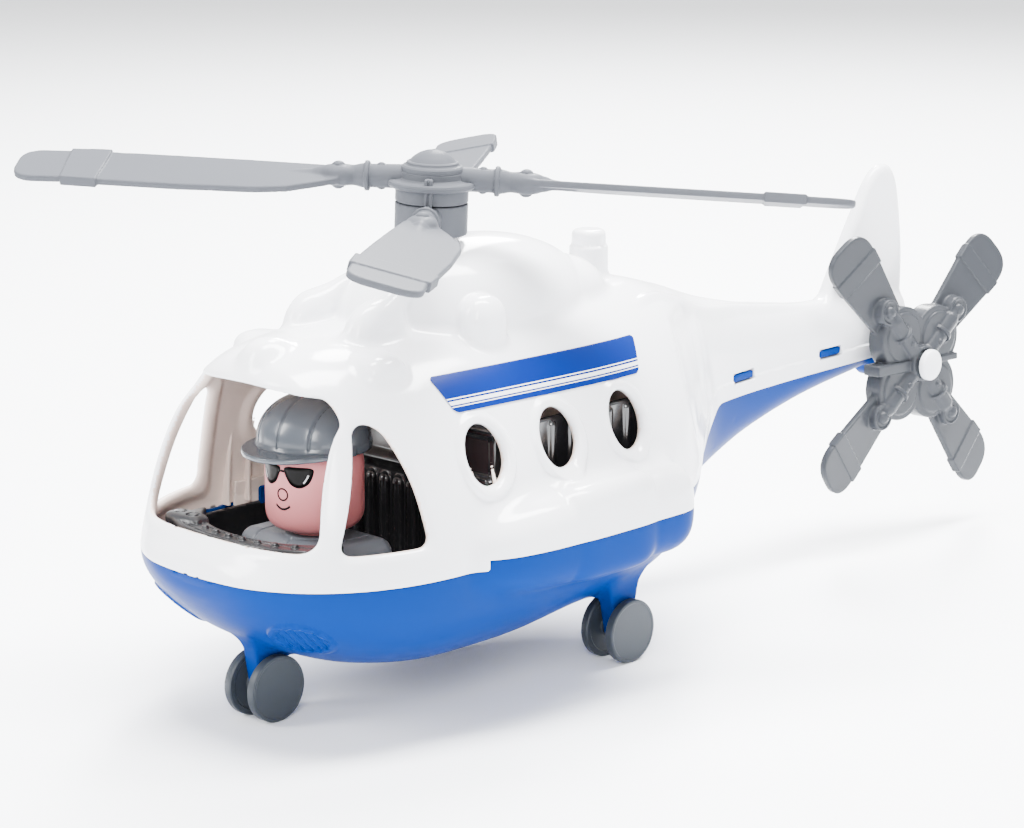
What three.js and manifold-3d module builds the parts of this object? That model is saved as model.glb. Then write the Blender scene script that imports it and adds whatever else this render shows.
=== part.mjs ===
// Toy helicopter: a white and blue moulded plastic fuselage on three pairs of wheels, with a four-blade main
// rotor made of two crossed bars, a four-blade tail rotor, a cabin insert and a pilot. Millimetres.
// +X is the nose, +Y is port, +Z is up. The parts are drawn about the mast axis (x = 0, y = 0) with the floor
// at z = 0, and the whole group is then moved so that its origin is the centre of its footprint.
import * as THREE from "three";
import { mergeVertices } from "three/addons/utils/BufferGeometryUtils.js";
import Module from "manifold-3d";

const wasm = await Module();
wasm.setup();

// ---- Driving dimensions ----

const WALL = 2.2; // moulded wall thickness
const FIT = 0.3; // gap between neighbouring pieces
const DEG = Math.PI / 180;

const NOSE_X = 105;
const TAIL_X = -256;
const NOSE_START = 40; // the nose's plan outline is a superellipse ahead of this station
const CABIN_HALF_WIDTH = 59.5;
const NOSE_POWER = 2.3;

// Side and plan outlines of the fuselage, [x, value], from the tail to the nose.
const ROOF_LINE = [
  [-256, 92], [-235, 96], [-194, 97], [-169, 100], [-135, 107], [-102, 117.5], [-80, 122.5], [-40, 124],
  [20, 123], [50, 121.5], [66, 120], [77, 116.5], [83.5, 109.5], [88, 99], [92, 86], [95.5, 73], [98.5, 63],
  [103, 57.5], [105, 53],
];
const BELLY_LINE = [
  [-256, 76], [-246, 69], [-228, 66.5], [-195, 62], [-160, 54], [-132, 43.5], [-112, 33.5], [-95, 25], [-75, 18],
  [-40, 14], [0, 13], [35, 14], [60, 18], [78, 25], [90, 32.5], [98, 40], [103, 47.5], [105, 53],
];
const HALF_WIDTH_LINE = [
  [-256, 3], [-251, 6.5], [-228, 7.6], [-190, 8.4], [-160, 10.2], [-137, 13], [-122, 17], [-105, 28.5], [-88, 41.5],
  [-70, 51.5], [-50, 57], [-25, 59.2], [5, 59.5], [40, 59.5],
];
const WAIST_LINE = [
  [-256, 84], [-200, 81], [-160, 79], [-135, 76], [-110, 71], [-90, 65], [-60, 57], [50, 55], [105, 53],
];
const UPPER_POWER_LINE = [[-256, 2], [-140, 2.1], [-90, 2.5], [40, 2.6], [75, 2.5], [105, 2.2]];
const LOWER_POWER_LINE = [[-256, 2], [-35, 2], [10, 2.4], [40, 2.5], [105, 2.1]];
// How far the flanks lean in above the waist.
const LEAN_IN_LINE = [[-256, 0], [-140, 0], [-95, 0.12], [-60, 0.2], [105, 0.2]];

// The wall thickness is taken along X ahead of noseFrom, and over the last tailReach of the boom.
const END_WALL = { noseFrom: 62, tailReach: 12, noseMost: 1.15 };

const SEAM_Z = 52.5; // height of the joint between the white shell and the blue hull
const SEAM_STEP = [-112, -128]; // where the joint climbs to the boom
const BOOM_SEAM_Z = 70.5;

const POD = { x: -10, y: 55.5, z: 56, long: 49, wide: 14, high: 15.5, power: 2.8 };
const COWL = { x: -14, z: 118, long: 52, wide: 28, high: 26.5, power: 2.1 };
const INTAKE = { x: 39, y: 14, z: 119, long: 12.5, wide: 6.6, high: 11.5, power: 2.2 };
const NOSE_BUMP = { x: 71, z: 113.5, long: 9.5, wide: 8.5, high: 9, power: 2.2 };
const BEACON = { x: -75, radius: 6.7, base: 112, shoulder: 133.5, top: 139 };
const FIN_THICKNESS = 7;

const WINDSHIELD = { back: 72, half: 39.8, shoulderHalf: 33.4, sill: 63, shoulder: 106, top: 110.5, corner: 7 };
const SIDE_WINDOW = { corners: [[83, 63.5], [70, 99.7], [63.2, 99], [56.5, 63.5]], corner: 3 };
const PORTHOLE = { first: 27.5, pitch: 33, count: 3, z: 85.7, long: 8.2, high: 9.2 };

const TAB = { xs: [-146.5, -202.5], z: 77.4, long: 13.4, high: 3.2 };
const BELLY_PAD = { x: 5, long: 64, wide: 26, z: 11.6 };

const WHEEL = { radius: 10.9, thickness: 3.1, span: 14.1 };
const AXLE_RADIUS = 1.5;
const NOSE_GEAR = { x: 75.7, y: 0, top: 30, front: 7, back: 9 };
const REAR_GEAR = { x: -46.7, y: 40.2, top: 34, front: 9, back: 9 };
const STRUT_THICKNESS = 6.2;

const HUB_Z = 164.7; // level of the upper bar's arms on the mast axis
const ROTOR_LEAN = [2.33, -0.52]; // the loose rotor leans to port and to the rear, degrees about -X and Y
const ROTOR_ANGLE = 40.2; // the lower bar's first blade, from the nose towards port
const BLADE = { root: 28, tip: 136, tipCorner: 9, thickness: 2, pitch: 13 };
// The blade's two edges as [distance from the mast, half width]: one has a shoulder, the other only widens.
const BLADE_SHOULDER = [[28, 4.2], [36, 8.8], [46, 13.6], [56, 14.9], [80, 14.2], [105, 12.2], [120, 10.6]];
const BLADE_PLAIN = [[28, 4.2], [36, 6], [60, 8.3], [86, 10.4], [107, 11.8], [120, 12]];
const BLADE_BAND = { start: 107, end: 120, proud: 0.5, over: 0.9 };
const HUB_RADIUS = 11.9;
const UPPER_BAR = { level: 0, arm: 4, slope: -1.1, top: -3.2, bottom: -7.6 };
const LOWER_BAR = { level: -11.2, arm: 3.6, slope: 1.1, top: -8.1, bottom: -18.2 };
const ROTOR_AXLE = { radius: 3, bottom: 112, top: 169.2, head: 4.9 };
const ROTOR_BORE = 4.2;
const MAST_TOP = 145;

const TAIL_HUB = [-242, 17, 69.2];
const TAIL_ANGLE = 39.4;
const TAIL_LEAN = [-2, -4.5]; // the tail rotor leans on its loose pin, degrees about local X and Y
const TAIL_ROTOR = { radius: 63, plate: 7.7, lobeAt: 13.5, lobe: 12.5, rootHalf: 6.8, half: 10.8, pitch: 9 };
const TAIL_PIN_RADIUS = 2.4;
const TAIL_CAP_RADIUS = 6;

const TUB = { rear: -56, seat: 16, half: 44, floor: 38, rim: 51, top: 90.5, wall: 2.4 };
const TUB_POSTS = [[60, 18], [60, -18], [-30, 25], [-30, -25]];
const SEAT_FLUTES = { count: 13, radius: 1.8, edge: 4, below: 3 };
const SEAT_ROLL_RADIUS = 2.2;
const SIDE_RIBS = { first: 8, last: 4, pitch: 9, radius: 1.2 }; // on the insert's walls behind the portholes
const DASH = { top: 62.8, bottom: 57.4, depth: 9, inset: 10.5, half: 33, taper: 0.94 };
const KNOBS = { count: 7, share: 0.8, radius: 1.3, high: 1.3 };
const DASH_FOOT = { long: 6, wide: 8 };

const PILOT_X = 53;
const TORSO = { deep: 27, wide: 48, bottom: 40.6, top: 56.6, corner: 8, edge: 4, side: 2 };
const HEAD = { radius: 15.8, bottom: 58.6, top: 86.2, neck: 8 };
const CAP = { radius: 18.2, bottom: 84.5, top: 102.3, band: 5, brim: 1.7, reach: 26.5, brimRadius: 22, brimHalf: 18.6 };

const DECAL = { corners: [[34, 98.8], [-52.5, 97.8], [-59, 109.3], [37.5, 109.8]], corner: 1.5, skin: 0.4 };

// ---- Colours ----

function plastic(color, roughness, metalness = 0) {
  return new THREE.MeshStandardMaterial({ color, roughness, metalness });
}
const WHITE = () => plastic(0xf2f3f5, 0.25);
const BLUE = () => plastic(0x0f6fd0, 0.3);
const GREY = () => plastic(0x8b8f93, 0.35);
const DARK_GREY = () => plastic(0x4a4c50, 0.4);
const BLACK = () => plastic(0x16171a, 0.35);
const PINK = () => plastic(0xe8a5a8, 0.5);
const STEEL = () => plastic(0xb9bcc0, 0.3, 1);
const DECAL_BLUE = () => plastic(0x1136b8, 0.3);

// ---- Solids ----

// A closed geometry as a manifold solid, with its faces turned outwards.
function solid(geometry) {
  const bare = geometry.index ? geometry.toNonIndexed() : geometry.clone();
  bare.deleteAttribute("normal");
  bare.deleteAttribute("uv");
  const merged = mergeVertices(bare, 1e-4);
  const position = merged.attributes.position;
  const corners = [];
  let volume = 0;
  const [a, b, c] = [new THREE.Vector3(), new THREE.Vector3(), new THREE.Vector3()];
  for (let i = 0; i < merged.index.count; i += 3) {
    const [p, q, r] = [0, 1, 2].map((k) => merged.index.getX(i + k));
    if (p === q || q === r || r === p) continue;
    a.fromBufferAttribute(position, p);
    b.fromBufferAttribute(position, q);
    c.fromBufferAttribute(position, r);
    volume += a.dot(b.cross(c));
    corners.push(p, q, r);
  }
  if (volume < 0) corners.reverse();
  const vertProperties = position.array;
  const triVerts = new Uint32Array(corners);
  return new wasm.Manifold(new wasm.Mesh({ numProp: 3, vertProperties, triVerts }));
}

function join(...solids) {
  return solids.reduce((whole, next) => whole.add(next));
}

function cut(whole, ...cutters) {
  return cutters.reduce((rest, cutter) => rest.subtract(cutter), whole);
}

function geometryOf(made) {
  const mesh = made.getMesh();
  const points = new Float32Array(mesh.numVert * 3);
  for (let i = 0; i < mesh.numVert; i++) {
    const start = i * mesh.numProp;
    points.set(mesh.vertProperties.subarray(start, start + 3), i * 3);
  }
  const geometry = new THREE.BufferGeometry();
  geometry.setAttribute("position", new THREE.BufferAttribute(points, 3));
  geometry.setIndex(new THREE.BufferAttribute(mesh.triVerts, 1));
  geometry.computeVertexNormals();
  return geometry;
}

function part(name, made, material) {
  const mesh = new THREE.Mesh(geometryOf(made), material);
  mesh.name = name;
  return mesh;
}

function box(low, high) {
  const size = high.map((value, i) => value - low[i]);
  const geometry = new THREE.BoxGeometry(...size);
  return solid(geometry.translate(...low.map((value, i) => value + size[i] / 2)));
}

// A round bar between two points.
function rod(radius, from, to, sides = 24, endRadius = radius) {
  const start = new THREE.Vector3(...from);
  const way = new THREE.Vector3(...to).sub(start);
  const geometry = new THREE.CylinderGeometry(endRadius, radius, way.length(), sides);
  geometry.translate(0, way.length() / 2, 0);
  const turn = new THREE.Quaternion().setFromUnitVectors(new THREE.Vector3(0, 1, 0), way.normalize());
  geometry.applyQuaternion(turn);
  return solid(geometry.translate(...from));
}

function ellipsoid(centre, radii, around = 32, rows = 16, power = 2) {
  const geometry = new THREE.SphereGeometry(1, around, rows);
  geometry.rotateX(Math.PI / 2);
  const points = geometry.attributes.position;
  const point = new THREE.Vector3();
  for (let i = 0; i < points.count; i++) {
    point.fromBufferAttribute(points, i);
    const reach = [point.x, point.y, point.z].reduce((sum, value) => sum + Math.abs(value) ** power, 0);
    point.divideScalar(reach ** (1 / power));
    points.setXYZ(i, point.x, point.y, point.z);
  }
  return solid(geometry.scale(...radii).translate(...centre));
}

// A moulded bulge: an ellipsoid whose sides are flattened by its power, made smaller by a wall thickness.
function bulge(spec, y, shrink, around, rows) {
  const radii = [spec.long - shrink, spec.wide - shrink, spec.high - shrink];
  return ellipsoid([spec.x, y, spec.z], radii, around, rows, spec.power);
}

// A turned solid about Z from [radius, z] points that start and end on the axis.
function turned(profile, sides = 40) {
  const points = profile.map(([radius, z]) => new THREE.Vector2(radius, z));
  return solid(new THREE.LatheGeometry(points, sides).rotateX(Math.PI / 2));
}

// A flat outline in plan, extruded between two heights.
function slab(shape, low, high, curveSegments = 8) {
  const geometry = new THREE.ExtrudeGeometry(shape, { depth: high - low, bevelEnabled: false, curveSegments });
  return solid(geometry.translate(0, 0, low));
}

// An outline in the side view (x, z), extruded from one y to another.
function sidePlate(shape, low, high, curveSegments = 8) {
  const geometry = new THREE.ExtrudeGeometry(shape, { depth: high - low, bevelEnabled: false, curveSegments });
  return solid(geometry.rotateX(Math.PI / 2).translate(0, high, 0));
}

// An outline in the front view (y, z), extruded from one x to another.
function frontPlate(shape, low, high, curveSegments = 8) {
  const geometry = new THREE.ExtrudeGeometry(shape, { depth: high - low, bevelEnabled: false, curveSegments });
  return solid(geometry.rotateZ(Math.PI / 2).rotateY(Math.PI / 2).translate(low, 0, 0));
}

// A polygon with every corner rounded.
function rounded(points, radius) {
  const shape = new THREE.Shape();
  const corners = points.map((point) => new THREE.Vector2(...point));
  corners.forEach((corner, i) => {
    const before = corners[(i + corners.length - 1) % corners.length];
    const after = corners[(i + 1) % corners.length];
    const enter = before.clone().sub(corner).setLength(radius).add(corner);
    const leave = after.clone().sub(corner).setLength(radius).add(corner);
    if (i === 0) shape.moveTo(enter.x, enter.y);
    else shape.lineTo(enter.x, enter.y);
    shape.quadraticCurveTo(corner.x, corner.y, leave.x, leave.y);
  });
  shape.closePath();
  return shape;
}

function rectangle(x, y, long, wide, radius) {
  const [right, top] = [x + long / 2, y + wide / 2];
  const [left, bottom] = [x - long / 2, y - wide / 2];
  return rounded([[left, bottom], [right, bottom], [right, top], [left, top]], radius);
}

function ellipseShape(x, y, radiusX, radiusY) {
  return new THREE.Shape().absellipse(x, y, radiusX, radiusY, 0, 2 * Math.PI);
}

// ---- Fuselage surface ----

// A smooth line through [x, value] points that never overshoots between them.
function lineThrough(points) {
  const rise = points.slice(1).map(([x, value], i) => (value - points[i][1]) / (x - points[i][0]));
  const slope = points.map((_, i) => {
    if (i === 0) return rise[0];
    if (i === points.length - 1) return rise[i - 1];
    const [before, after] = [rise[i - 1], rise[i]];
    return before * after <= 0 ? 0 : (2 * before * after) / (before + after);
  });
  return (x) => {
    const last = points.length - 2;
    const i = Math.max(0, Math.min(last, points.findIndex((point) => point[0] >= x) - 1));
    const [[x0, v0], [x1, v1]] = [points[i], points[i + 1]];
    const span = x1 - x0;
    const t = Math.max(0, Math.min(1, (x - x0) / span));
    const bend = t * t * (3 - 2 * t);
    const lead = t * (1 - t) * (1 - t) * span * slope[i];
    const trail = t * t * (1 - t) * span * slope[i + 1];
    return v0 + (v1 - v0) * bend + lead - trail;
  };
}

const roofAt = lineThrough(ROOF_LINE);
const bellyAt = lineThrough(BELLY_LINE);
const sideAt = lineThrough(HALF_WIDTH_LINE);
const waistAt = lineThrough(WAIST_LINE);
const upperPowerAt = lineThrough(UPPER_POWER_LINE);
const lowerPowerAt = lineThrough(LOWER_POWER_LINE);
const leanInAt = lineThrough(LEAN_IN_LINE);

function halfWidthAt(x) {
  if (x <= NOSE_START) return sideAt(x);
  const along = Math.min(1, (x - NOSE_START) / (NOSE_X - NOSE_START));
  return CABIN_HALF_WIDTH * (1 - along ** NOSE_POWER) ** (1 / NOSE_POWER);
}

// How much of the wall thickness is taken along X at a station: all of it where the ends close.
function endShare(x) {
  const { noseFrom, tailReach, noseMost } = END_WALL;
  const nose = Math.max(0, (x - noseFrom) / (NOSE_X - noseFrom));
  const tail = Math.max(0, (TAIL_X + tailReach - x) / tailReach);
  return noseMost * nose - tail;
}

// One cross-section of the fuselage, moved inwards by a wall thickness.
function sectionRing(x, inset, sides) {
  const half = Math.max(halfWidthAt(x) - inset, 0.3);
  const waist = waistAt(x);
  const up = Math.max(roofAt(x) - inset - waist, 0.3);
  const down = Math.max(waist - bellyAt(x) - inset, 0.3);
  const ring = [];
  for (let k = 0; k < sides; k++) {
    const angle = (2 * Math.PI * k) / sides;
    const [c, s] = [Math.cos(angle), Math.sin(angle)];
    const power = 2 / (s >= 0 ? upperPowerAt(x) : lowerPowerAt(x));
    const level = Math.sign(s) * Math.abs(s) ** power;
    const y = half * Math.sign(c) * Math.abs(c) ** power * (1 - leanInAt(x) * Math.max(level, 0));
    const z = waist + (s >= 0 ? up : down) * level;
    ring.push(new THREE.Vector3(x - inset * endShare(x), y, z));
  }
  return ring;
}

// A closed skin through rings of equal length, with a fan over each end.
function loft(rings) {
  const sides = rings[0].length;
  const points = rings.flat();
  const corners = [];
  for (let i = 0; i + 1 < rings.length; i++) {
    for (let k = 0; k < sides; k++) {
      const [a, b] = [i * sides + k, i * sides + ((k + 1) % sides)];
      corners.push(a, b, a + sides, b, b + sides, a + sides);
    }
  }
  [0, rings.length - 1].forEach((end, which) => {
    const middle = new THREE.Vector3();
    rings[end].forEach((point) => middle.addScaledVector(point, 1 / sides));
    points.push(middle);
    for (let k = 0; k < sides; k++) {
      const [a, b] = [end * sides + k, end * sides + ((k + 1) % sides)];
      if (which === 0) corners.push(b, a, points.length - 1);
      else corners.push(a, b, points.length - 1);
    }
  });
  const geometry = new THREE.BufferGeometry().setFromPoints(points);
  geometry.setIndex(corners);
  return solid(geometry);
}

// Stations crowd together towards the nose, where the outline turns fastest.
function stationsBetween(low, high) {
  const stations = [];
  const [coarse, fine, turn] = [15, 4.2, 76];
  for (let x = low; x < turn; x += coarse) stations.push(Math.min(x, turn));
  for (let x = turn; x < high - fine / 2; x += fine) stations.push(x);
  stations.push(high);
  return stations;
}

function fuselage(inset, sides = 30) {
  return loft(stationsBetween(TAIL_X, NOSE_X).map((x) => sectionRing(x, inset, sides)));
}

// Everything above the joint between shell and hull, lifted by a gap.
function aboveSeam(gap) {
  const [stepLow, stepHigh] = SEAM_STEP;
  const shape = new THREE.Shape();
  shape.moveTo(NOSE_X + 20, SEAM_Z + gap);
  shape.lineTo(stepLow + gap, SEAM_Z + gap);
  shape.lineTo(stepHigh + gap, BOOM_SEAM_Z + gap);
  shape.lineTo(TAIL_X - 20, BOOM_SEAM_Z + gap);
  shape.lineTo(TAIL_X - 20, 220);
  shape.lineTo(NOSE_X + 20, 220);
  shape.closePath();
  return sidePlate(shape, -100, 100);
}

function pods(shrink) {
  return [-1, 1].map((side) => bulge(POD, side * POD.y, shrink, 24, 12));
}

// ---- Upper shell ----

function cowl(shrink) {
  return bulge(COWL, 0, shrink, 24, 12);
}

function intakes() {
  return [-1, 1].map((side) => bulge(INTAKE, side * INTAKE.y, 0, 14, 8));
}

function noseBump() {
  return bulge(NOSE_BUMP, 0, 0, 14, 8);
}

function beacon() {
  const { radius, base, shoulder, top } = BEACON;
  const profile = [
    [0, base], [radius, base], [radius, shoulder], [radius - 0.8, shoulder + 0.8], [radius - 0.8, top - 1.6],
    [radius - 2.4, top - 0.4], [0, top],
  ];
  return turned(profile, 18).translate([BEACON.x, 0, 0]);
}

function fin() {
  const shape = new THREE.Shape();
  shape.moveTo(-204, 86);
  shape.lineTo(-196, 96);
  shape.quadraticCurveTo(-212, 100, -220, 122);
  shape.quadraticCurveTo(-227, 147, -236, 147.5);
  shape.quadraticCurveTo(-246, 147, -251, 124);
  shape.quadraticCurveTo(-256, 104, -254, 86);
  shape.closePath();
  const plate = { depth: 1, bevelThickness: FIN_THICKNESS / 2 - 0.5, bevelSize: 1.6, bevelSegments: 2 };
  const options = { ...plate, bevelOffset: -1.6, curveSegments: 6 };
  const geometry = new THREE.ExtrudeGeometry(shape, options);
  return solid(geometry.rotateX(Math.PI / 2).translate(0, 0.5, 0));
}

// The boss under the roof that holds the rotor's axle, and the seat that the lower bar turns on.
function mastBoss() {
  return rod(7.5, [0, 0, 114], [0, 0, MAST_TOP], 28);
}

function windshieldCutter() {
  const { back, half, shoulderHalf, sill, top, shoulder, corner } = WINDSHIELD;
  const outline = [[-half, sill], [half, sill], [shoulderHalf, shoulder], [0, top], [-shoulderHalf, shoulder]];
  return frontPlate(rounded(outline, corner), back, NOSE_X + 5);
}

function sideWindowCutter() {
  return sidePlate(rounded(SIDE_WINDOW.corners, SIDE_WINDOW.corner), -90, 90, 5);
}

function portholeCutters() {
  const cutters = [];
  for (let i = 0; i < PORTHOLE.count; i++) {
    const x = PORTHOLE.first - i * PORTHOLE.pitch;
    cutters.push(sidePlate(ellipseShape(x, PORTHOLE.z, PORTHOLE.long, PORTHOLE.high), -90, 90, 8));
  }
  return cutters;
}

function tabSlots(grow) {
  return TAB.xs.map((x) => {
    const [long, high] = [TAB.long / 2 + grow, TAB.high / 2 + grow];
    return box([x - long, -30, TAB.z - high], [x + long, 30, TAB.z + high]);
  });
}

function upperShell() {
  const outside = join(fuselage(0), ...pods(0), cowl(0), ...intakes(), noseBump(), beacon(), fin());
  const hollow = join(fuselage(WALL), cowl(WALL));
  const shell = cut(outside, hollow).intersect(aboveSeam(FIT / 2));
  const [x, , z] = TAIL_HUB;
  const tailClearance = rod(8 + FIT, [x, -40, z], [x, 40, z]);
  const bored = cut(join(shell, mastBoss()), rod(ROTOR_AXLE.radius + 0.1, [0, 0, 100], [0, 0, 150]));
  const windows = [windshieldCutter(), sideWindowCutter(), ...portholeCutters()];
  const opened = cut(bored, ...windows, ...tabSlots(FIT), tailClearance);
  return part("upper_shell", largestOf(opened), WHITE());
}

// Booleans on curved skins can leave crumbs; the piece is the largest body.
function largestOf(made) {
  const bodies = made.decompose();
  return bodies.reduce((best, body) => (body.volume() > best.volume() ? body : best));
}

// ---- Lower hull ----

// A strut's side outline: wide where it leaves the belly, round about the axle.
function strut(gear) {
  const foot = 4;
  const shape = new THREE.Shape();
  shape.moveTo(gear.x + gear.front, gear.top);
  shape.lineTo(gear.x - gear.back, gear.top);
  shape.lineTo(gear.x - foot, WHEEL.radius);
  shape.absarc(gear.x, WHEEL.radius, foot, Math.PI, 2 * Math.PI, false);
  shape.closePath();
  const [low, high] = [gear.y - STRUT_THICKNESS / 2, gear.y + STRUT_THICKNESS / 2];
  return sidePlate(shape, low, high);
}

function tailBoss() {
  const [x, , z] = TAIL_HUB;
  return rod(8, [x, -6, z], [x, 11.8, z], 24);
}

// Snap tabs that stand up inside the boom and show through the shell's slots.
function snapTabs() {
  const tabs = [];
  const [longHalf, highHalf] = [TAB.long / 2 - FIT, TAB.high / 2 - FIT];
  TAB.xs.forEach((x) => {
    const inside = halfWidthAt(x) - WALL - FIT;
    [-1, 1].forEach((side) => {
      const stem = [side * (inside - 5), side * (inside - 2)].sort((a, b) => a - b);
      tabs.push(box([x - longHalf, stem[0], 60], [x + longHalf, stem[1], TAB.z + highHalf]));
      const lip = [side * (inside - 3), side * (inside + WALL)].sort((a, b) => a - b);
      tabs.push(box([x - longHalf, lip[0], TAB.z - highHalf], [x + longHalf, lip[1], TAB.z + highHalf]));
    });
  });
  return tabs;
}

// Posts that carry the cabin insert.
function tubPosts() {
  return TUB_POSTS.map(([x, y]) => rod(3, [x, y, 5], [x, y, TUB.floor - FIT], 14));
}

function lowerHull() {
  const belly = cut(join(fuselage(0), ...pods(0)), fuselage(WALL));
  const half = cut(belly, aboveSeam(-FIT / 2));
  const { x, long, wide, z } = BELLY_PAD;
  const pad = box([x - long / 2, -wide / 2, z], [x + long / 2, wide / 2, z + 4]);
  const gears = [NOSE_GEAR, REAR_GEAR, { ...REAR_GEAR, y: -REAR_GEAR.y }];
  const struts = gears.map((gear) => cut(strut(gear), fuselage(WALL)));
  const inner = [...snapTabs(), ...tubPosts()].map((piece) => piece.intersect(fuselage(FIT)));
  const whole = join(half, pad, ...struts, ...inner, cut(tailBoss(), fuselage(WALL)));
  const bores = gears.map((gear) => {
    return rod(AXLE_RADIUS + 0.2, [gear.x, gear.y - 20, WHEEL.radius], [gear.x, gear.y + 20, WHEEL.radius]);
  });
  const [tailX, , tailZ] = TAIL_HUB;
  const tailBore = rod(TAIL_PIN_RADIUS + 0.1, [tailX, -20, tailZ], [tailX, 20, tailZ]);
  return part("lower_hull", largestOf(cut(whole, ...bores, tailBore)), BLUE());
}

// ---- Cabin ----

// The front of the insert is a basin that lies just inside the hull and hides it.
function basin() {
  const { seat, floor, wall, rim } = TUB;
  const inside = fuselage(WALL + FIT);
  const [low, high] = [[seat, -CABIN_HALF_WIDTH, floor], [NOSE_X, CABIN_HALF_WIDTH, floor + wall]];
  const bottom = inside.intersect(box(low, high));
  const sides = cut(inside, fuselage(WALL + FIT + wall));
  return join(bottom, sides.intersect(box(low, [high[0], high[1], rim])));
}

// The black insert: a floor, a fluted seat back across the cabin, and ribbed walls behind the portholes.
function cabinTub() {
  const { rear, seat, half, floor, top, wall } = TUB;
  const plate = box([rear, -half, floor], [seat, half, floor + wall]);
  const back = box([seat - wall, -half, floor], [seat, half, top]);
  const rollX = seat - wall / 2;
  const pieces = [plate, basin(), back, rod(SEAT_ROLL_RADIUS, [rollX, -half, top], [rollX, half, top], 10)];
  const { count, radius, edge, below } = SEAT_FLUTES;
  for (let i = 0; i < count; i++) {
    const y = (half - edge) * ((2 * i) / (count - 1) - 1);
    pieces.push(rod(radius, [seat, y, floor], [seat, y, top - below], 6));
  }
  [-1, 1].forEach((side) => {
    const [low, high] = [side * half, side * (half - wall)].sort((a, b) => a - b);
    pieces.push(box([rear + wall, low, floor], [seat, high, top]));
    for (let x = rear + SIDE_RIBS.first; x < seat - SIDE_RIBS.last; x += SIDE_RIBS.pitch) {
      pieces.push(rod(SIDE_RIBS.radius, [x, side * half, floor], [x, side * half, top], 6));
    }
  });
  return part("cabin_tub", join(...pieces), BLACK());
}

// A plan curve parallel to the nose, at a distance inside it.
function nosePlan(y, inset) {
  const share = Math.min(1, Math.abs(y) / (CABIN_HALF_WIDTH - inset + 3));
  return NOSE_START + (NOSE_X - NOSE_START - inset) * (1 - share ** NOSE_POWER) ** (1 / NOSE_POWER);
}

function dashboard() {
  const { top, bottom, depth, inset, half, taper } = DASH;
  const steps = 14;
  const shape = new THREE.Shape();
  for (let i = 0; i <= steps; i++) {
    const y = -half + (2 * half * i) / steps;
    const x = nosePlan(y, inset);
    if (i === 0) shape.moveTo(x, y);
    else shape.lineTo(x, y);
  }
  for (let i = steps; i >= 0; i--) {
    const y = (-half + (2 * half * i) / steps) * taper;
    shape.lineTo(nosePlan(y, inset + depth), y);
  }
  shape.closePath();
  const pieces = [slab(shape, bottom, top)];
  for (let i = 0; i < KNOBS.count; i++) {
    const y = half * KNOBS.share * ((2 * i) / (KNOBS.count - 1) - 1);
    const x = nosePlan(y, inset + depth / 2);
    pieces.push(rod(KNOBS.radius, [x, y, bottom + 1], [x, y, top + KNOBS.high], 8));
  }
  const middle = NOSE_X - inset - depth;
  const [long, wide] = [DASH_FOOT.long / 2, DASH_FOOT.wide / 2];
  pieces.push(box([middle - long, -wide, TUB.floor + TUB.wall + FIT], [middle + long, wide, bottom + 1]));
  return part("dashboard", join(...pieces), DARK_GREY());
}

// ---- Pilot ----

function pilotTorso() {
  const { deep, wide, bottom, top, corner, edge, side } = TORSO;
  const shape = rectangle(PILOT_X, 0, deep - 2 * side, wide - 2 * side, corner);
  const bevel = { bevelThickness: edge, bevelSize: side, bevelSegments: 2, curveSegments: 4 };
  const geometry = new THREE.ExtrudeGeometry(shape, { depth: top - bottom - 2 * edge, ...bevel });
  const body = solid(geometry.translate(0, 0, bottom + edge));
  return part("pilot_torso", body, GREY());
}

function pilotHead() {
  const { radius, bottom, top, neck } = HEAD;
  const profile = [
    [0, TORSO.top + FIT], [neck, TORSO.top + FIT], [neck, bottom], [radius - 4.5, bottom],
    [radius - 1.4, bottom + 1.4], [radius, bottom + 4.5], [radius, top], [radius - 3, top],
    [radius - 3, top + 5], [0, top + 5],
  ];
  return part("pilot_head", turned(profile, 24).translate([PILOT_X, 0, 0]), PINK());
}

function pilotCap() {
  const { radius, bottom, top, band, brim, reach, brimRadius, brimHalf } = CAP;
  const dome = [[0, bottom], [radius, bottom]];
  const steps = 5;
  for (let i = 0; i < steps; i++) {
    const angle = (i / steps) * 90 * DEG;
    dome.push([radius * Math.cos(angle), bottom + band + (top - bottom - band) * Math.sin(angle)]);
  }
  dome.push([0, top]);
  const peak = slab(ellipseShape(reach - brimRadius, 0, brimRadius, brimHalf), bottom, bottom + brim, 9);
  const behind = box([-40, -40, 0], [2, 40, 200]);
  const inside = [[0, 0], [HEAD.radius + FIT, 0], [HEAD.radius + FIT, HEAD.top + FIT]];
  inside.push([HEAD.radius - 3 + FIT, HEAD.top + FIT], [HEAD.radius - 3 + FIT, HEAD.top + 5.3]);
  inside.push([0, HEAD.top + 5.3]);
  const whole = cut(join(turned(dome, 24), cut(peak, behind)), turned(inside, 24));
  return part("pilot_cap", whole.translate([PILOT_X, 0, 0]), GREY());
}

// ---- Wheels ----

function wheel(name, gear, side) {
  const outer = gear.y + (side * WHEEL.span) / 2;
  const inner = outer - side * WHEEL.thickness;
  const chamfer = 0.5;
  const { radius } = WHEEL;
  const body = join(
    rod(radius, [gear.x, inner, radius], [gear.x, outer - side * chamfer, radius], 30),
    rod(radius, [gear.x, outer - side * chamfer, radius], [gear.x, outer, radius], 30, radius - chamfer),
  );
  const bore = rod(AXLE_RADIUS + 0.15, [gear.x, inner - side, radius], [gear.x, outer - side * 1.1, radius], 14);
  return part(name, cut(body, bore), GREY());
}

function axle(name, gear) {
  const reach = WHEEL.span / 2 - 1.4;
  const [from, to] = [[gear.x, gear.y - reach, WHEEL.radius], [gear.x, gear.y + reach, WHEEL.radius]];
  return part(name, rod(AXLE_RADIUS, from, to, 12), STEEL());
}

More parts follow.
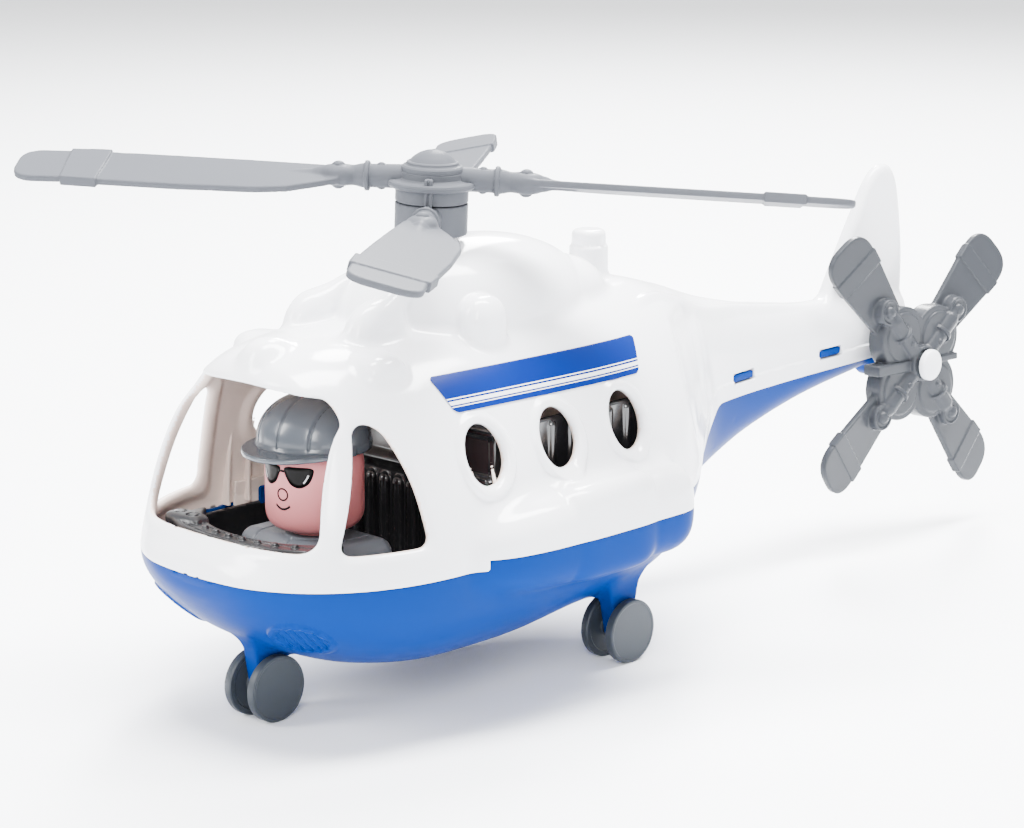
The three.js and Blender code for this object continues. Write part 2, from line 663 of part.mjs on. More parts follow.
function wheelPair(label, gear) {
  const sides = [["port", 1], ["starboard", -1]];
  const wheels = sides.map(([word, side]) => wheel(`${label}_${word}_wheel`, gear, side));
  return [axle(`${label}_axle`, gear), ...wheels];
}

// ---- Main rotor ----

// One blade along +X about the bar's centre: arm, collar, fork, rivets and the pitched paddle.
function mainBlade(bar) {
  const { root, tip, tipCorner, thickness, pitch } = BLADE;
  const shape = new THREE.Shape();
  const [shoulderEnd, plainEnd] = [BLADE_SHOULDER, BLADE_PLAIN].map((edge) => edge[edge.length - 1][1]);
  shape.moveTo(root, -BLADE_PLAIN[0][1]);
  BLADE_PLAIN.forEach(([x, half]) => shape.lineTo(x, -half));
  shape.lineTo(tip - tipCorner, -plainEnd + 0.3);
  shape.quadraticCurveTo(tip, -plainEnd + 1, tip, -plainEnd + tipCorner);
  shape.lineTo(tip, shoulderEnd - tipCorner);
  shape.quadraticCurveTo(tip, shoulderEnd - 1, tip - tipCorner, shoulderEnd - 0.3);
  [...BLADE_SHOULDER].reverse().forEach(([x, half]) => shape.lineTo(x, half));
  shape.closePath();
  const paddle = slab(shape, -thickness / 2, thickness / 2, 5).rotate([-pitch, 0, 0]);
  const { start, end, proud, over } = BLADE_BAND;
  const bandShape = rounded([[start, -plainEnd - over], [end, -plainEnd - over], [end, shoulderEnd + over],
    [start, shoulderEnd + 2 * over]], 0.6);
  const band = slab(bandShape, -thickness / 2 - proud, thickness / 2 + proud, 2).rotate([-pitch, 0, 0]);
  const arm = rod(bar.arm, [HUB_RADIUS - 3, 0, 0], [21, 0, 0], 12, bar.arm - 0.2);
  const fork = rod(bar.arm - 0.2, [20.5, 0, 0], [35, 0, 0], 12, 2.7);
  const collar = rod(bar.arm + 0.9, [20.3, 0, 0], [21.8, 0, 0], 14);
  const rivets = [3.1, -3.1].map((z) => ellipsoid([31, 0, z], [1.2, 1.2, 1.2], 6, 4));
  return join(paddle, band, arm, fork, collar, ...rivets).rotate([0, -bar.slope, 0]);
}

function bladesOf(bar, angle) {
  return [0, 180].map((turn) => mainBlade(bar).rotate([0, 0, angle + turn]).translate([0, 0, bar.level]));
}

// The upper bar has the domed cap, the flange and the skirt over the lower bar's hub.
function upperBar() {
  const skirt = [[0, UPPER_BAR.bottom], [HUB_RADIUS, UPPER_BAR.bottom], [HUB_RADIUS, UPPER_BAR.top]];
  const flange = [[14, -3], [14.5, -1.9], [14, -0.9], [12, -0.7], [10.3, -0.6], [10.3, 2]];
  const dome = [[9.8, 3.4], [9, 4.6], [7.6, 5.1], [7.1, 5.9], [5.4, 7.7], [2.8, 8.8], [0, 9]];
  const cavity = [[0, -20], [ROTOR_BORE, -20], [ROTOR_BORE, 1.4], [5.9, 1.4], [5.9, 5.4], [4.4, 6.8], [0, 6.8]];
  const angle = ROTOR_ANGLE + 90;
  const keys = [0, 180].map((turn) => {
    const rib = box([HUB_RADIUS - 1, -1.2, UPPER_BAR.bottom], [HUB_RADIUS + 1.5, 1.2, UPPER_BAR.top + 1]);
    return rib.rotate([0, 0, ROTOR_ANGLE + turn]);
  });
  const body = join(turned([...skirt, ...flange, ...dome], 28), ...bladesOf(UPPER_BAR, angle), ...keys);
  return part("rotor_upper_bar", cut(body, turned(cavity, 16)), GREY());
}

function lowerBar() {
  const { top, bottom } = LOWER_BAR;
  const hub = rod(HUB_RADIUS, [0, 0, bottom], [0, 0, top], 28);
  const body = join(hub, ...bladesOf(LOWER_BAR, ROTOR_ANGLE));
  // The arms are flattened on top where they pass under the upper bar.
  const clearance = rod(HUB_RADIUS + 2.2, [0, 0, top], [0, 0, 10], 28);
  const bore = rod(ROTOR_BORE, [0, 0, -30], [0, 0, 10], 16);
  return part("rotor_lower_bar", cut(body, clearance, bore), GREY());
}

function mainRotor() {
  const rotor = new THREE.Group();
  rotor.add(upperBar(), lowerBar());
  rotor.position.set(0, 0, HUB_Z);
  rotor.rotation.set(-ROTOR_LEAN[0] * DEG, ROTOR_LEAN[1] * DEG, 0);
  return rotor;
}

// The fixed post that both bars turn on, pressed into the roof boss from below.
function rotorAxle() {
  const { radius, bottom, top, head } = ROTOR_AXLE;
  const profile = [
    [0, bottom - 2.5], [6, bottom - 2.5], [6, bottom], [radius, bottom], [radius, top - 2.4],
    [head - 0.4, top - 2.4], [head - 0.4, top - 1.8], [2.4, top], [0, top],
  ];
  return part("rotor_axle", turned(profile, 18), WHITE());
}

// ---- Tail rotor, drawn flat with its axis along +Z ----

function tailBlade() {
  const { radius, rootHalf, half, pitch, plate } = TAIL_ROTOR;
  const corner = 6;
  const shape = new THREE.Shape();
  shape.moveTo(18, -rootHalf);
  shape.lineTo(radius - corner - 3, -half);
  shape.quadraticCurveTo(radius, -half, radius, -half + corner + 2);
  shape.quadraticCurveTo(radius + 1, 0, radius, half - corner - 2);
  shape.quadraticCurveTo(radius, half, radius - corner - 3, half);
  shape.lineTo(18, rootHalf);
  shape.closePath();
  const paddle = slab(shape, -1.2, 1.2, 4).rotate([-pitch, 0, 0]);
  const bandShape = rounded([[46, -half + 0.6], [53, -half], [53, half], [46, half - 0.6]], 0.5);
  const band = slab(bandShape, -1.6, 1.6, 1).rotate([-pitch, 0, 0]);
  const [front, rivetAt] = [plate / 2, 28.5];
  const arm = rod(3.1, [4, 0, front], [24, 0, front - 0.6], 10);
  const pad = rod(5, [rivetAt, 0, 0], [rivetAt, 0, front + 1], 14);
  const rivet = ellipsoid([rivetAt, 0, front + 1], [2.5, 2.5, 2.2], 8, 6);
  return join(paddle, band, arm, pad, rivet);
}

function tailRotorSolid() {
  const { plate, lobeAt, lobe } = TAIL_ROTOR;
  const pieces = [
    rod(14, [0, 0, -plate / 2], [0, 0, plate / 2], 24),
    rod(7, [0, 0, 0], [0, 0, plate / 2 + 2.6], 20),
  ];
  for (let k = 0; k < 4; k++) {
    const angle = TAIL_ANGLE + 90 * k;
    const [x, y] = [lobeAt * Math.cos(angle * DEG), lobeAt * Math.sin(angle * DEG)];
    pieces.push(rod(lobe, [x, y, -plate / 2], [x, y, plate / 2], 20));
    pieces.push(tailBlade().rotate([0, 0, angle]));
  }
  [0, 180].forEach((turn) => {
    pieces.push(box([6, -1.3, -plate / 2], [21, 1.3, plate / 2 + 1]).rotate([0, 0, turn]));
  });
  return cut(join(...pieces), rod(TAIL_PIN_RADIUS + 2 * FIT, [0, 0, -20], [0, 0, 20], 20));
}

function tailPinSolid() {
  const under = TAIL_ROTOR.plate / 2 + 3.7;
  const profile = [
    [0, -20], [TAIL_PIN_RADIUS, -20], [TAIL_PIN_RADIUS, under], [TAIL_CAP_RADIUS, under],
    [TAIL_CAP_RADIUS, under + 2.2], [TAIL_CAP_RADIUS - 1, under + 3.2], [0, under + 3.6],
  ];
  return turned(profile, 20);
}

// Local +Z, the spin axis, points to port, and local +X points to the rear.
function tailGroup() {
  const tail = new THREE.Group();
  const rotor = part("tail_rotor", tailRotorSolid(), GREY());
  rotor.rotation.set(TAIL_LEAN[0] * DEG, TAIL_LEAN[1] * DEG, 0);
  tail.add(rotor, part("tail_pin", tailPinSolid(), WHITE()));
  const [toRear, toUp, toPort] = [[-1, 0, 0], [0, 0, 1], [0, 1, 0]].map((axis) => new THREE.Vector3(...axis));
  tail.quaternion.setFromRotationMatrix(new THREE.Matrix4().makeBasis(toRear, toUp, toPort));
  tail.position.set(...TAIL_HUB);
  return tail;
}

// ---- Decals: a thin skin just proud of the flank, cut to the band's outline ----

function decal(name, side) {
  const { corners, corner, skin } = DECAL;
  const shape = rounded(corners, corner);
  const strip = side > 0 ? sidePlate(shape, 20, 80) : sidePlate(shape, -80, -20);
  const skinSolid = cut(fuselage(-0.15 - skin), fuselage(-0.15));
  return part(name, largestOf(skinSolid.intersect(strip)), DECAL_BLUE());
}

// ---- The whole toy ----

const toy = new THREE.Group();
toy.add(upperShell(), lowerHull(), cabinTub(), dashboard());
toy.add(pilotTorso(), pilotHead(), pilotCap());
toy.add(...wheelPair("nose", NOSE_GEAR), ...wheelPair("rear_port", REAR_GEAR));
toy.add(...wheelPair("rear_starboard", { ...REAR_GEAR, y: -REAR_GEAR.y }));
toy.add(rotorAxle(), mainRotor(), tailGroup(), decal("decal_port", 1), decal("decal_starboard", -1));

const footprint = new THREE.Box3().setFromObject(toy, true);
const middle = footprint.getCenter(new THREE.Vector3());
toy.position.set(-middle.x, -middle.y, -footprint.min.z);

export default toy;
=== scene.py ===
"""Toy helicopter: the moulded shells, rotors, cabin, pilot and wheels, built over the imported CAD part.

Lengths are millimetres about the mast axis (+X nose, +Y port, floor at z = 0) until place() puts a mesh into
the part's frame in metres. Moulded pieces are drawn as signed distances, negative inside, and meshed from them.
"""
import math

import bpy
import numpy as np
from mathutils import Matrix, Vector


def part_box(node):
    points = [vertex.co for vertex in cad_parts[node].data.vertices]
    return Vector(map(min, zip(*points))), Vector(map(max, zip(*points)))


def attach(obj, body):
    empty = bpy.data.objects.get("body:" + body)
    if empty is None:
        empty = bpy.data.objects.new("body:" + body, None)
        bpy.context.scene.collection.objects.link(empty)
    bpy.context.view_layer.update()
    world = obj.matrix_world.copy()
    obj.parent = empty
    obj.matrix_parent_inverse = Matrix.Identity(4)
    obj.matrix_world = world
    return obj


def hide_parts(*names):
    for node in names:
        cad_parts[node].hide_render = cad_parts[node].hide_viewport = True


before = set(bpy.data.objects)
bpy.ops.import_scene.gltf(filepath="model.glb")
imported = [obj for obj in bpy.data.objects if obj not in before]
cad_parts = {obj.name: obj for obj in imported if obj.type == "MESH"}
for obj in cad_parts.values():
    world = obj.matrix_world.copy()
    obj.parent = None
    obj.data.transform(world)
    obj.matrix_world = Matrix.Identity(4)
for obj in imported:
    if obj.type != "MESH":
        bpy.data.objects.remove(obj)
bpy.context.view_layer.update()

import openvdb
from mathutils import Vector

MM = 0.001
MAST = sum(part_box("rotor_axle"), Vector()) / 2

# ---- Driving dimensions ----

WALL = 2.2
LIP = 1.6  # how much thicker the wall is round the windows
GAP = 0.15  # half of the gap between neighbouring pieces
SHELL_STEP = 0.85
ROTOR_STEP = 0.6
SMALL_STEP = 0.5

NOSE_X, TAIL_X, NOSE_START = 105, -256, 40
CABIN_HALF_WIDTH, NOSE_POWER = 59.5, 2.3
ROOF_LINE = [
    (-256, 92), (-235, 96), (-194, 97), (-169, 100), (-135, 107), (-102, 117.5), (-80, 122.5), (-40, 124),
    (20, 123), (50, 121.5), (66, 120), (77, 116.5), (83.5, 109.5), (88, 99), (92, 86), (95.5, 73), (98.5, 63),
    (103, 57.5), (105, 53),
]
BELLY_LINE = [
    (-256, 76), (-246, 69), (-228, 66.5), (-195, 62), (-160, 54), (-132, 43.5), (-112, 33.5), (-95, 25),
    (-75, 18), (-40, 14), (0, 13), (35, 14), (60, 18), (78, 25), (90, 32.5), (98, 40), (103, 47.5), (105, 53),
]
HALF_WIDTH_LINE = [
    (-256, 3), (-251, 6.5), (-228, 7.6), (-190, 8.4), (-160, 10.2), (-137, 13), (-122, 17), (-105, 28.5),
    (-88, 41.5), (-70, 51.5), (-50, 57), (-25, 59.2), (5, 59.5), (40, 59.5),
]
WAIST_LINE = [
    (-256, 84), (-200, 81), (-160, 79), (-135, 76), (-110, 71), (-90, 65), (-60, 57), (50, 55), (105, 53),
]
UPPER_POWER_LINE = [(-256, 2), (-140, 2.1), (-90, 2.5), (40, 2.6), (75, 2.5), (105, 2.2)]
LOWER_POWER_LINE = [(-256, 2), (-35, 2), (10, 2.4), (40, 2.5), (105, 2.1)]
LEAN_IN_LINE = [(-256, 0), (-140, 0), (-95, 0.12), (-60, 0.2), (105, 0.2)]

SEAM_Z, POD_SEAM_Z, BOOM_SEAM_Z = 52.5, 56, 70.5
POD_SEAM_START = 37
SEAM_STEP = (-112, -128)

POD = dict(centre=(-10, 55.5, 56), radii=(49, 14, 15.5), power=2.8)
COWL = dict(centre=(-14, 0, 118), radii=(52, 28, 26.5), power=2.1)
INTAKE = dict(centre=(39, 14, 119), radii=(12.5, 6.6, 11.5), power=2.2)
NOSE_BUMP = dict(centre=(71, 0, 113.5), radii=(9.5, 8.5, 9), power=2.2)
BEACON_X = -75

WINDSHIELD = [(-40.2, 62.6), (0, 62), (40.2, 62.6), (33.6, 106.4), (0, 111.2), (-33.6, 106.4)]
WINDSHIELD_BACK = 72
SIDE_WINDOW = [(83.3, 63), (56, 63.2), (58, 88), (63, 99.6), (70.4, 100.2)]
PORTHOLE_XS = (27.5, -5.5, -38.5)
PORTHOLE = dict(z=85.7, long=8.2, high=9.2)
TAB_XS = (-146.5, -202.5)
TAB = dict(z=77.4, long=6.7, high=1.6)

WHEEL = dict(radius=10.9, thickness=3.1, span=14.1)
AXLE_RADIUS = 1.5
NOSE_GEAR = dict(x=75.7, y=0, top=30, front=7, back=9)
REAR_GEAR = dict(x=-46.7, y=40.2, top=34, front=9, back=9)
STRUT_THICKNESS = 6.2

HUB_Z = 164.7
ROTOR_LEAN = (2.33, -0.52)
ROTOR_ANGLE = 40.2
HUB_RADIUS = 11.9
UPPER_BAR = dict(level=0, arm=4, slope=-1.1)
LOWER_BAR = dict(level=-11.2, arm=3.6, slope=1.1)
PITCH = 13
ROTOR_BORE = 4.2

TAIL_HUB = (-242, 17, 69.2)
TAIL_ANGLE = 39.4
TAIL_LEAN = (-2, -4.5)
TAIL_PLATE = 7.7

TUB = dict(rear=-56, seat=16, half=44, floor=38, rim=52, top=90.5, wall=2.4)
WALL_RIBS = dict(x=34, pitch=9, half=0.6, deep=3.4, bottom=53, top=79)
PILOT_X = 53
FACE_TURN = 8.5
HEAD_RADIUS = 15.8
DECAL = dict(front=((37.5, 109.8), (34, 99.3)), rear=((-59, 109.3), (-52.5, 98.5)), skin=0.3, corner=1.5)
# Where the decal's white stripes start and end, as shares of its height from the top.
DECAL_STRIPES = ((0.61, 0.64), (0.69, 0.79), (0.83, 0.855))

CAMERA = dict(place=(628.0, 643.6, 295.6), target=(-17.9, 18.5, 86.1), lens=98.48, sensor=36)

# ---- Distances ----


def line_through(points):
    """A smooth line through (x, value) points that never overshoots between them, as a lookup."""
    xs, vs = np.array(points, float).T
    rise = np.diff(vs) / np.diff(xs)
    slope = np.zeros(len(xs))
    slope[0], slope[-1] = rise[0], rise[-1]
    before, after = rise[:-1], rise[1:]
    same = before * after > 0
    slope[1:-1][same] = 2 * before[same] * after[same] / (before + after)[same]
    table_x = np.arange(xs[0], xs[-1] + 0.1, 0.2)
    i = np.clip(np.searchsorted(xs, table_x, side="right") - 1, 0, len(xs) - 2)
    span = xs[i + 1] - xs[i]
    t = np.clip((table_x - xs[i]) / span, 0, 1)
    bend = t * t * (3 - 2 * t)
    lead = t * (1 - t) ** 2 * span * slope[i]
    trail = t * t * (1 - t) * span * slope[i + 1]
    table = vs[i] + (vs[i + 1] - vs[i]) * bend + lead - trail
    return lambda x: np.interp(x, table_x, table)


roof_at = line_through(ROOF_LINE)
belly_at = line_through(BELLY_LINE)
side_at = line_through(HALF_WIDTH_LINE)
waist_at = line_through(WAIST_LINE)
upper_power_at = line_through(UPPER_POWER_LINE)
lower_power_at = line_through(LOWER_POWER_LINE)
lean_in_at = line_through(LEAN_IN_LINE)


def smooth_min(a, b, k):
    """The union of two distances with a fillet of about k."""
    h = np.maximum(k - np.abs(a - b), 0) / k
    return np.minimum(a, b) - h * h * k / 4


def smooth_max(a, b, k):
    return -smooth_min(-a, -b, k)


def step_up(value, low, high):
    t = np.clip((value - low) / (high - low), 0, 1)
    return t * t * (3 - 2 * t)


def half_width(x):
    along = np.clip((x - NOSE_START) / (NOSE_X - NOSE_START), 0, 1)
    nose = CABIN_HALF_WIDTH * (1 - along**NOSE_POWER) ** (1 / NOSE_POWER)
    return np.where(x <= NOSE_START, side_at(x), nose)


def section_level(x, y, z):
    """0 on the fuselage skin, -1 on its middle line, with the slopes across and up."""
    waist = waist_at(x)
    above = z >= waist
    reach = np.maximum(np.where(above, roof_at(x) - waist, waist - belly_at(x)), 3)
    power = np.where(above, upper_power_at(x), lower_power_at(x))
    level = np.abs(z - waist) / reach
    lean = lean_in_at(x) * np.where(above, np.minimum(level, 1.3), 0)
    wide = np.maximum(half_width(x), 3) * (1 - lean)
    across = np.abs(y) / wide
    total = np.maximum(across**power + level**power, 1e-9)
    value = total ** (1 / power)
    share = value / total
    slope_y = share * across ** (power - 1) / wide
    slope_z = share * level ** (power - 1) / reach
    return value - 1, slope_y, slope_z


def fuselage(x, y, z):
    value, slope_y, slope_z = section_level(x, y, z)
    reach = 0.6
    ahead = section_level(np.minimum(x + reach, NOSE_X), y, z)[0]
    behind = section_level(x - reach, y, z)[0]
    slope_x = (ahead - behind) / (2 * reach)
    body = value / np.maximum(np.sqrt(slope_x**2 + slope_y**2 + slope_z**2), 1e-3)
    return smooth_max(body, np.maximum(x - NOSE_X + 0.6, TAIL_X - x), 3)


def bulge(x, y, z, centre, radii, power):
    parts = [np.abs(v - c) / r for v, c, r in zip((x, y, z), centre, radii)]
    total = np.maximum(sum(p**power for p in parts), 1e-9)
    value = total ** (1 / power)
    share = value / total
    slope = np.sqrt(sum((share * p ** (power - 1) / r) ** 2 for p, r in zip(parts, radii)))
    return (value - 1) / np.maximum(slope, 1e-3)


def ball(x, y, z, centre, radius):
    return np.sqrt((x - centre[0]) ** 2 + (y - centre[1]) ** 2 + (z - centre[2]) ** 2) - radius


def capsule(x, y, z, start, end, radius, end_radius=None):
    """A round bar with round ends, whose radius may change along it."""
    start, end = np.array(start, float), np.array(end, float)
    way = end - start
    t = ((x - start[0]) * way[0] + (y - start[1]) * way[1] + (z - start[2]) * way[2]) / (way @ way)
    t = np.clip(t, 0, 1)
    apart = np.sqrt(sum((v - s - t * w) ** 2 for v, s, w in zip((x, y, z), start, way)))
    return apart - (radius if end_radius is None else radius + (end_radius - radius) * t)


def post(across, along, radius, low, high, edge=0.5):
    """A cylinder of that radius between two levels along its axis, with rounded rims."""
    return smooth_max(across - radius, np.maximum(low - along, along - high), edge)


def brick(x, y, z, centre, halves, edge=0.5):
    sides = [np.abs(v - c) - h + edge for v, c, h in zip((x, y, z), centre, halves)]
    outside = np.sqrt(sum(np.maximum(s, 0) ** 2 for s in sides))
    return outside + np.minimum(np.maximum(np.maximum(sides[0], sides[1]), sides[2]), 0) - edge


def convex(u, v, corners, k):
    """A convex outline given anticlockwise or clockwise, with corners rounded by about k."""
    corners = np.array(corners, float)
    following = np.roll(corners, -1, axis=0)
    turn = np.sign(np.sum(corners[:, 0] * following[:, 1] - following[:, 0] * corners[:, 1]))
    result = None
    for (u0, v0), (u1, v1) in zip(corners, following):
        length = math.hypot(u1 - u0, v1 - v0)
        side = turn * ((u - u0) * (v1 - v0) - (v - v0) * (u1 - u0)) / length
        result = side if result is None else smooth_max(result, side, k)
    return result


def oval(u, v, long, high):
    """An ellipse about the origin, true near its edge."""
    value = np.sqrt((u / long) ** 2 + (v / high) ** 2)
    slope = np.sqrt((u / long**2) ** 2 + (v / high**2) ** 2) / np.maximum(value, 1e-6)
    return (value - 1) / np.maximum(slope, 1e-3)


# ---- Meshing ----

BLOCK = 6


def sampled(shape, low, high, step):
    """The distance on a grid. Only blocks that may hold the surface are worked out point by point."""
    blocks = np.ceil((np.array(high) - low) / step / BLOCK).astype(int)
    middles = [low[k] + (np.arange(blocks[k]) + 0.5) * BLOCK * step for k in range(3)]
    rough = shape(*[m.ravel() for m in np.meshgrid(*middles, indexing="ij")]).reshape(blocks)
    far = 3 * step
    values = np.where(rough > 0, far, -far).astype(np.float32)
    for axis in range(3):
        values = np.repeat(values, BLOCK, axis=axis)
    near = np.argwhere(np.abs(rough) < BLOCK * step * 1.5)
    offsets = np.stack(np.meshgrid(*[np.arange(BLOCK)] * 3, indexing="ij"), -1).reshape(-1, 3)
    batch = 2000
    for first in range(0, len(near), batch):
        index = (near[first : first + batch, None, :] * BLOCK + offsets).reshape(-1, 3)
        found = shape(*(np.array(low) + index * step).T)
        values[tuple(index.T)] = np.clip(found, -far, far)
    return values


def slope_of(shape, points):
    reach = 0.03
    columns = []
    for axis in range(3):
        shift = np.zeros(3)
        shift[axis] = reach
        columns.append((shape(*(points + shift).T) - shape(*(points - shift).T)) / (2 * reach))
    return np.stack(columns, -1)


def settle(shape, points, limit):
    """Points moved onto the surface along its slope."""
    for _ in range(2):
        slope = slope_of(shape, points)
        size = np.maximum((slope**2).sum(1), 0.05)
        move = -(shape(*points.T) / size)[:, None] * slope
        length = np.linalg.norm(move, axis=1, keepdims=True)
        points = points + move * np.minimum(1, limit / np.maximum(length, 1e-9))
    return points


def sharpen(points, first, second, step):
    """Points near the edge where two surfaces meet, moved onto that edge, and which points those are."""
    near = (np.abs(first(*points.T)) < 0.85 * step) & (np.abs(second(*points.T)) < 0.85 * step)
    start = points[near]
    if not len(start):
        return points, near
    some = start
    for _ in range(4):
        a, b = slope_of(first, some), slope_of(second, some)
        values = np.stack([first(*some.T), second(*some.T)], -1)
        rows = np.stack([a, b], 1)
        square = rows @ rows.transpose(0, 2, 1) + 1e-3 * np.eye(2)
        some = some - (rows.transpose(0, 2, 1) @ np.linalg.solve(square, values[..., None]))[..., 0]
    points = points.copy()
    close = np.linalg.norm(some - start, axis=1) < 1.2 * step
    close &= (np.abs(first(*some.T)) < 0.15) & (np.abs(second(*some.T)) < 0.15)
    points[near] = np.where(close[:, None], some, start)
    return points, near


def meshed(name, shape, low, high, step, edges=(), turn=None):
    """A mesh object of the distance. turn maps drawn points to the mast frame."""
    low = np.array(low, float) - 0.37 * step
    grid = openvdb.FloatGrid(3 * step)
    grid.copyFromArray(sampled(shape, low, high, step))
    points, triangles, quads = grid.convertToPolygons(isovalue=0.0, adaptivity=0.0)
    points = low + points.astype(float) * step
    points = settle(shape, points, 0.5 * step)
    slope = slope_of(shape, points)
    for first, second in edges:
        points, near = sharpen(points, first, second, step)
        # Light falls on the edge as on the outside face.
        slope[near] = slope_of(first, points[near])
    normals = slope / np.maximum(np.linalg.norm(slope, axis=1, keepdims=True), 1e-9)
    if turn is not None:
        points, normals = points @ turn[:3, :3].T + turn[:3, 3], normals @ turn[:3, :3].T
    return place(name, points, [triangles, quads], normals)


def place(name, points, face_sets, normals=None):
    """A mesh object in the part's frame from points in millimetres about the mast axis."""
    points = np.asarray(points, float) * MM + np.array([MAST.x, MAST.y, 0])
    faces = [np.asarray(f) for f in face_sets if len(f)]
    corners = np.concatenate([f.ravel() for f in faces]).astype(np.int32)
    sizes = np.concatenate([np.full(len(f), f.shape[1]) for f in faces])
    starts = np.concatenate([[0], np.cumsum(sizes)[:-1]]).astype(np.int32)
    mesh = bpy.data.meshes.new(name)
    mesh.vertices.add(len(points))
    mesh.vertices.foreach_set("co", points.astype(np.float32).ravel())
    mesh.loops.add(len(corners))
    mesh.loops.foreach_set("vertex_index", corners)
    mesh.polygons.add(len(starts))
    mesh.polygons.foreach_set("loop_start", starts)
    mesh.update(calc_edges=True)
    mesh.validate()
    if volume_of(mesh) < 0:
        mesh.flip_normals()
    mesh.shade_smooth()
    if normals is not None and len(mesh.vertices) == len(normals):
        mesh.normals_split_custom_set_from_vertices(normals.tolist())
    made = bpy.data.objects.new(name, mesh)
    bpy.context.scene.collection.objects.link(made)
    return made


def volume_of(mesh):
    mesh.calc_loop_triangles()
    corners = np.empty(len(mesh.loop_triangles) * 3, np.int32)
    mesh.loop_triangles.foreach_get("vertices", corners)
    points = np.empty(len(mesh.vertices) * 3, np.float32)
    mesh.vertices.foreach_get("co", points)
    a, b, c = points.reshape(-1, 3)[corners.reshape(-1, 3)].transpose(1, 0, 2).astype(float)
    return float((a * np.cross(b, c)).sum() / 6)


def turned(name, profile, sides, centre, axis=(0, 0, 1), turn=None):
    """A closed solid turned about an axis through centre from [radius, level] points that end on the axis."""
    axis = np.array(axis, float)
    other = np.array([1.0, 0, 0]) if abs(axis[0]) < 0.5 else np.array([0, 1.0, 0])
    first = np.cross(axis, other)
    second = np.cross(axis, first)
    angles = np.arange(sides) * 2 * math.pi / sides
    ring = np.cos(angles)[:, None] * first + np.sin(angles)[:, None] * second
    inner = profile[1:-1]
    points = [np.array(centre) + axis * profile[0][1], np.array(centre) + axis * profile[-1][1]]
    for radius, level in inner:
        points.extend(np.array(centre) + ring * radius + axis * level)
    quads, fans = [], []
    for k in range(sides):
        following = (k + 1) % sides
        for row in range(len(inner) - 1):
            start = 2 + row * sides
            quads.append([start + k, start + following, start + sides + following, start + sides + k])
        fans.append([0, 2 + following, 2 + k])
        last = 2 + (len(inner) - 1) * sides
        fans.append([1, last + k, last + following])
    points = np.array(points)
    if turn is not None:
        points = points @ turn[:3, :3].T + turn[:3, 3]
    made = place(name, points, [np.array(fans), np.array(quads)])
    made.data.set_sharp_from_angle(angle=math.radians(28))
    return made


def turn_about(axis, degrees):
    angle = math.radians(degrees)
    c, s = math.cos(angle), math.sin(angle)
    made = np.eye(4)
    i, j = [(1, 2), (2, 0), (0, 1)][axis]
    made[i, i], made[i, j], made[j, i], made[j, j] = c, -s, s, c
    return made


def moved(x, y, z):
    made = np.eye(4)
    made[:3, 3] = (x, y, z)
    return made


# ---- Fuselage ----


def above_seam(x, y, z):
    """Positive on the white shell's side of the joint."""
    (low_x, high_x), run = SEAM_STEP, math.hypot(SEAM_STEP[0] - SEAM_STEP[1], BOOM_SEAM_Z - SEAM_Z)
    rise = BOOM_SEAM_Z - SEAM_Z
    slant = ((x - low_x) * rise + (z - SEAM_Z) * (low_x - high_x)) / run
    cabin = np.maximum(z - POD_SEAM_Z, np.minimum(z - SEAM_Z, x - POD_SEAM_START))
    return smooth_max(z - BOOM_SEAM_Z, np.minimum(cabin, slant), 2.5)


def portholes(x, z):
    return np.minimum.reduce([
        oval(x - at, z - PORTHOLE["z"], PORTHOLE["long"], PORTHOLE["high"]) for at in PORTHOLE_XS
    ])


def pods(x, y, z):
    """The long bulges on the flanks, in two lengths with a shallow crease between them."""
    flank = np.abs(y)
    body = bulge(x, flank, z, **POD)
    rear = bulge(x, flank, z, (-15.5, 54.6, 57), (21.5, 15.2, 16.2), 5)
    tail = bulge(x, flank, z, (-42, 54.2, 56.5), (17, 14.6, 15.5), 3)
    return smooth_min(smooth_min(body, rear, 1.2), tail, 1.2)


def fin(x, y, z):
    tilt = (z - 92) * 0.12
    outline = smooth_max(
        convex(x + tilt, z, [(-254, 80), (-191, 80), (-216, 126), (-225, 147.5), (-241, 147.5), (-250, 128)], 12),
        z - 147.5,
        5,
    )
    return smooth_max(outline, np.abs(y) - 3.5 + 0.03 * np.maximum(z - 110, 0), 3.2)


def facet_depth(x, y, z):
    """The cabin's flank ends in a shallow crescent with a crisp front edge, ahead of the boom."""
    bent = x + 0.04 * (z - 73) + 0.012 * (z - 88) ** 2
    facet = convex(bent, z, [(-77, 66), (-77, 112), (-112, 112), (-112, 66)], 3)
    return 1.6 * step_up(-facet, 0, 7) * step_up(np.abs(y), 12, 16)


def skin(x, y, z):
    """The outside of the whole body, shell and hull together."""
    flank = np.abs(y)
    body = fuselage(x, y, z)
    rim = portholes(x, z)
    body = body - 1.2 * step_up(4.4 - rim, 0, 1.8) * (flank > 30)
    return smooth_min(body + facet_depth(x, y, z), pods(x, y, z), 6)


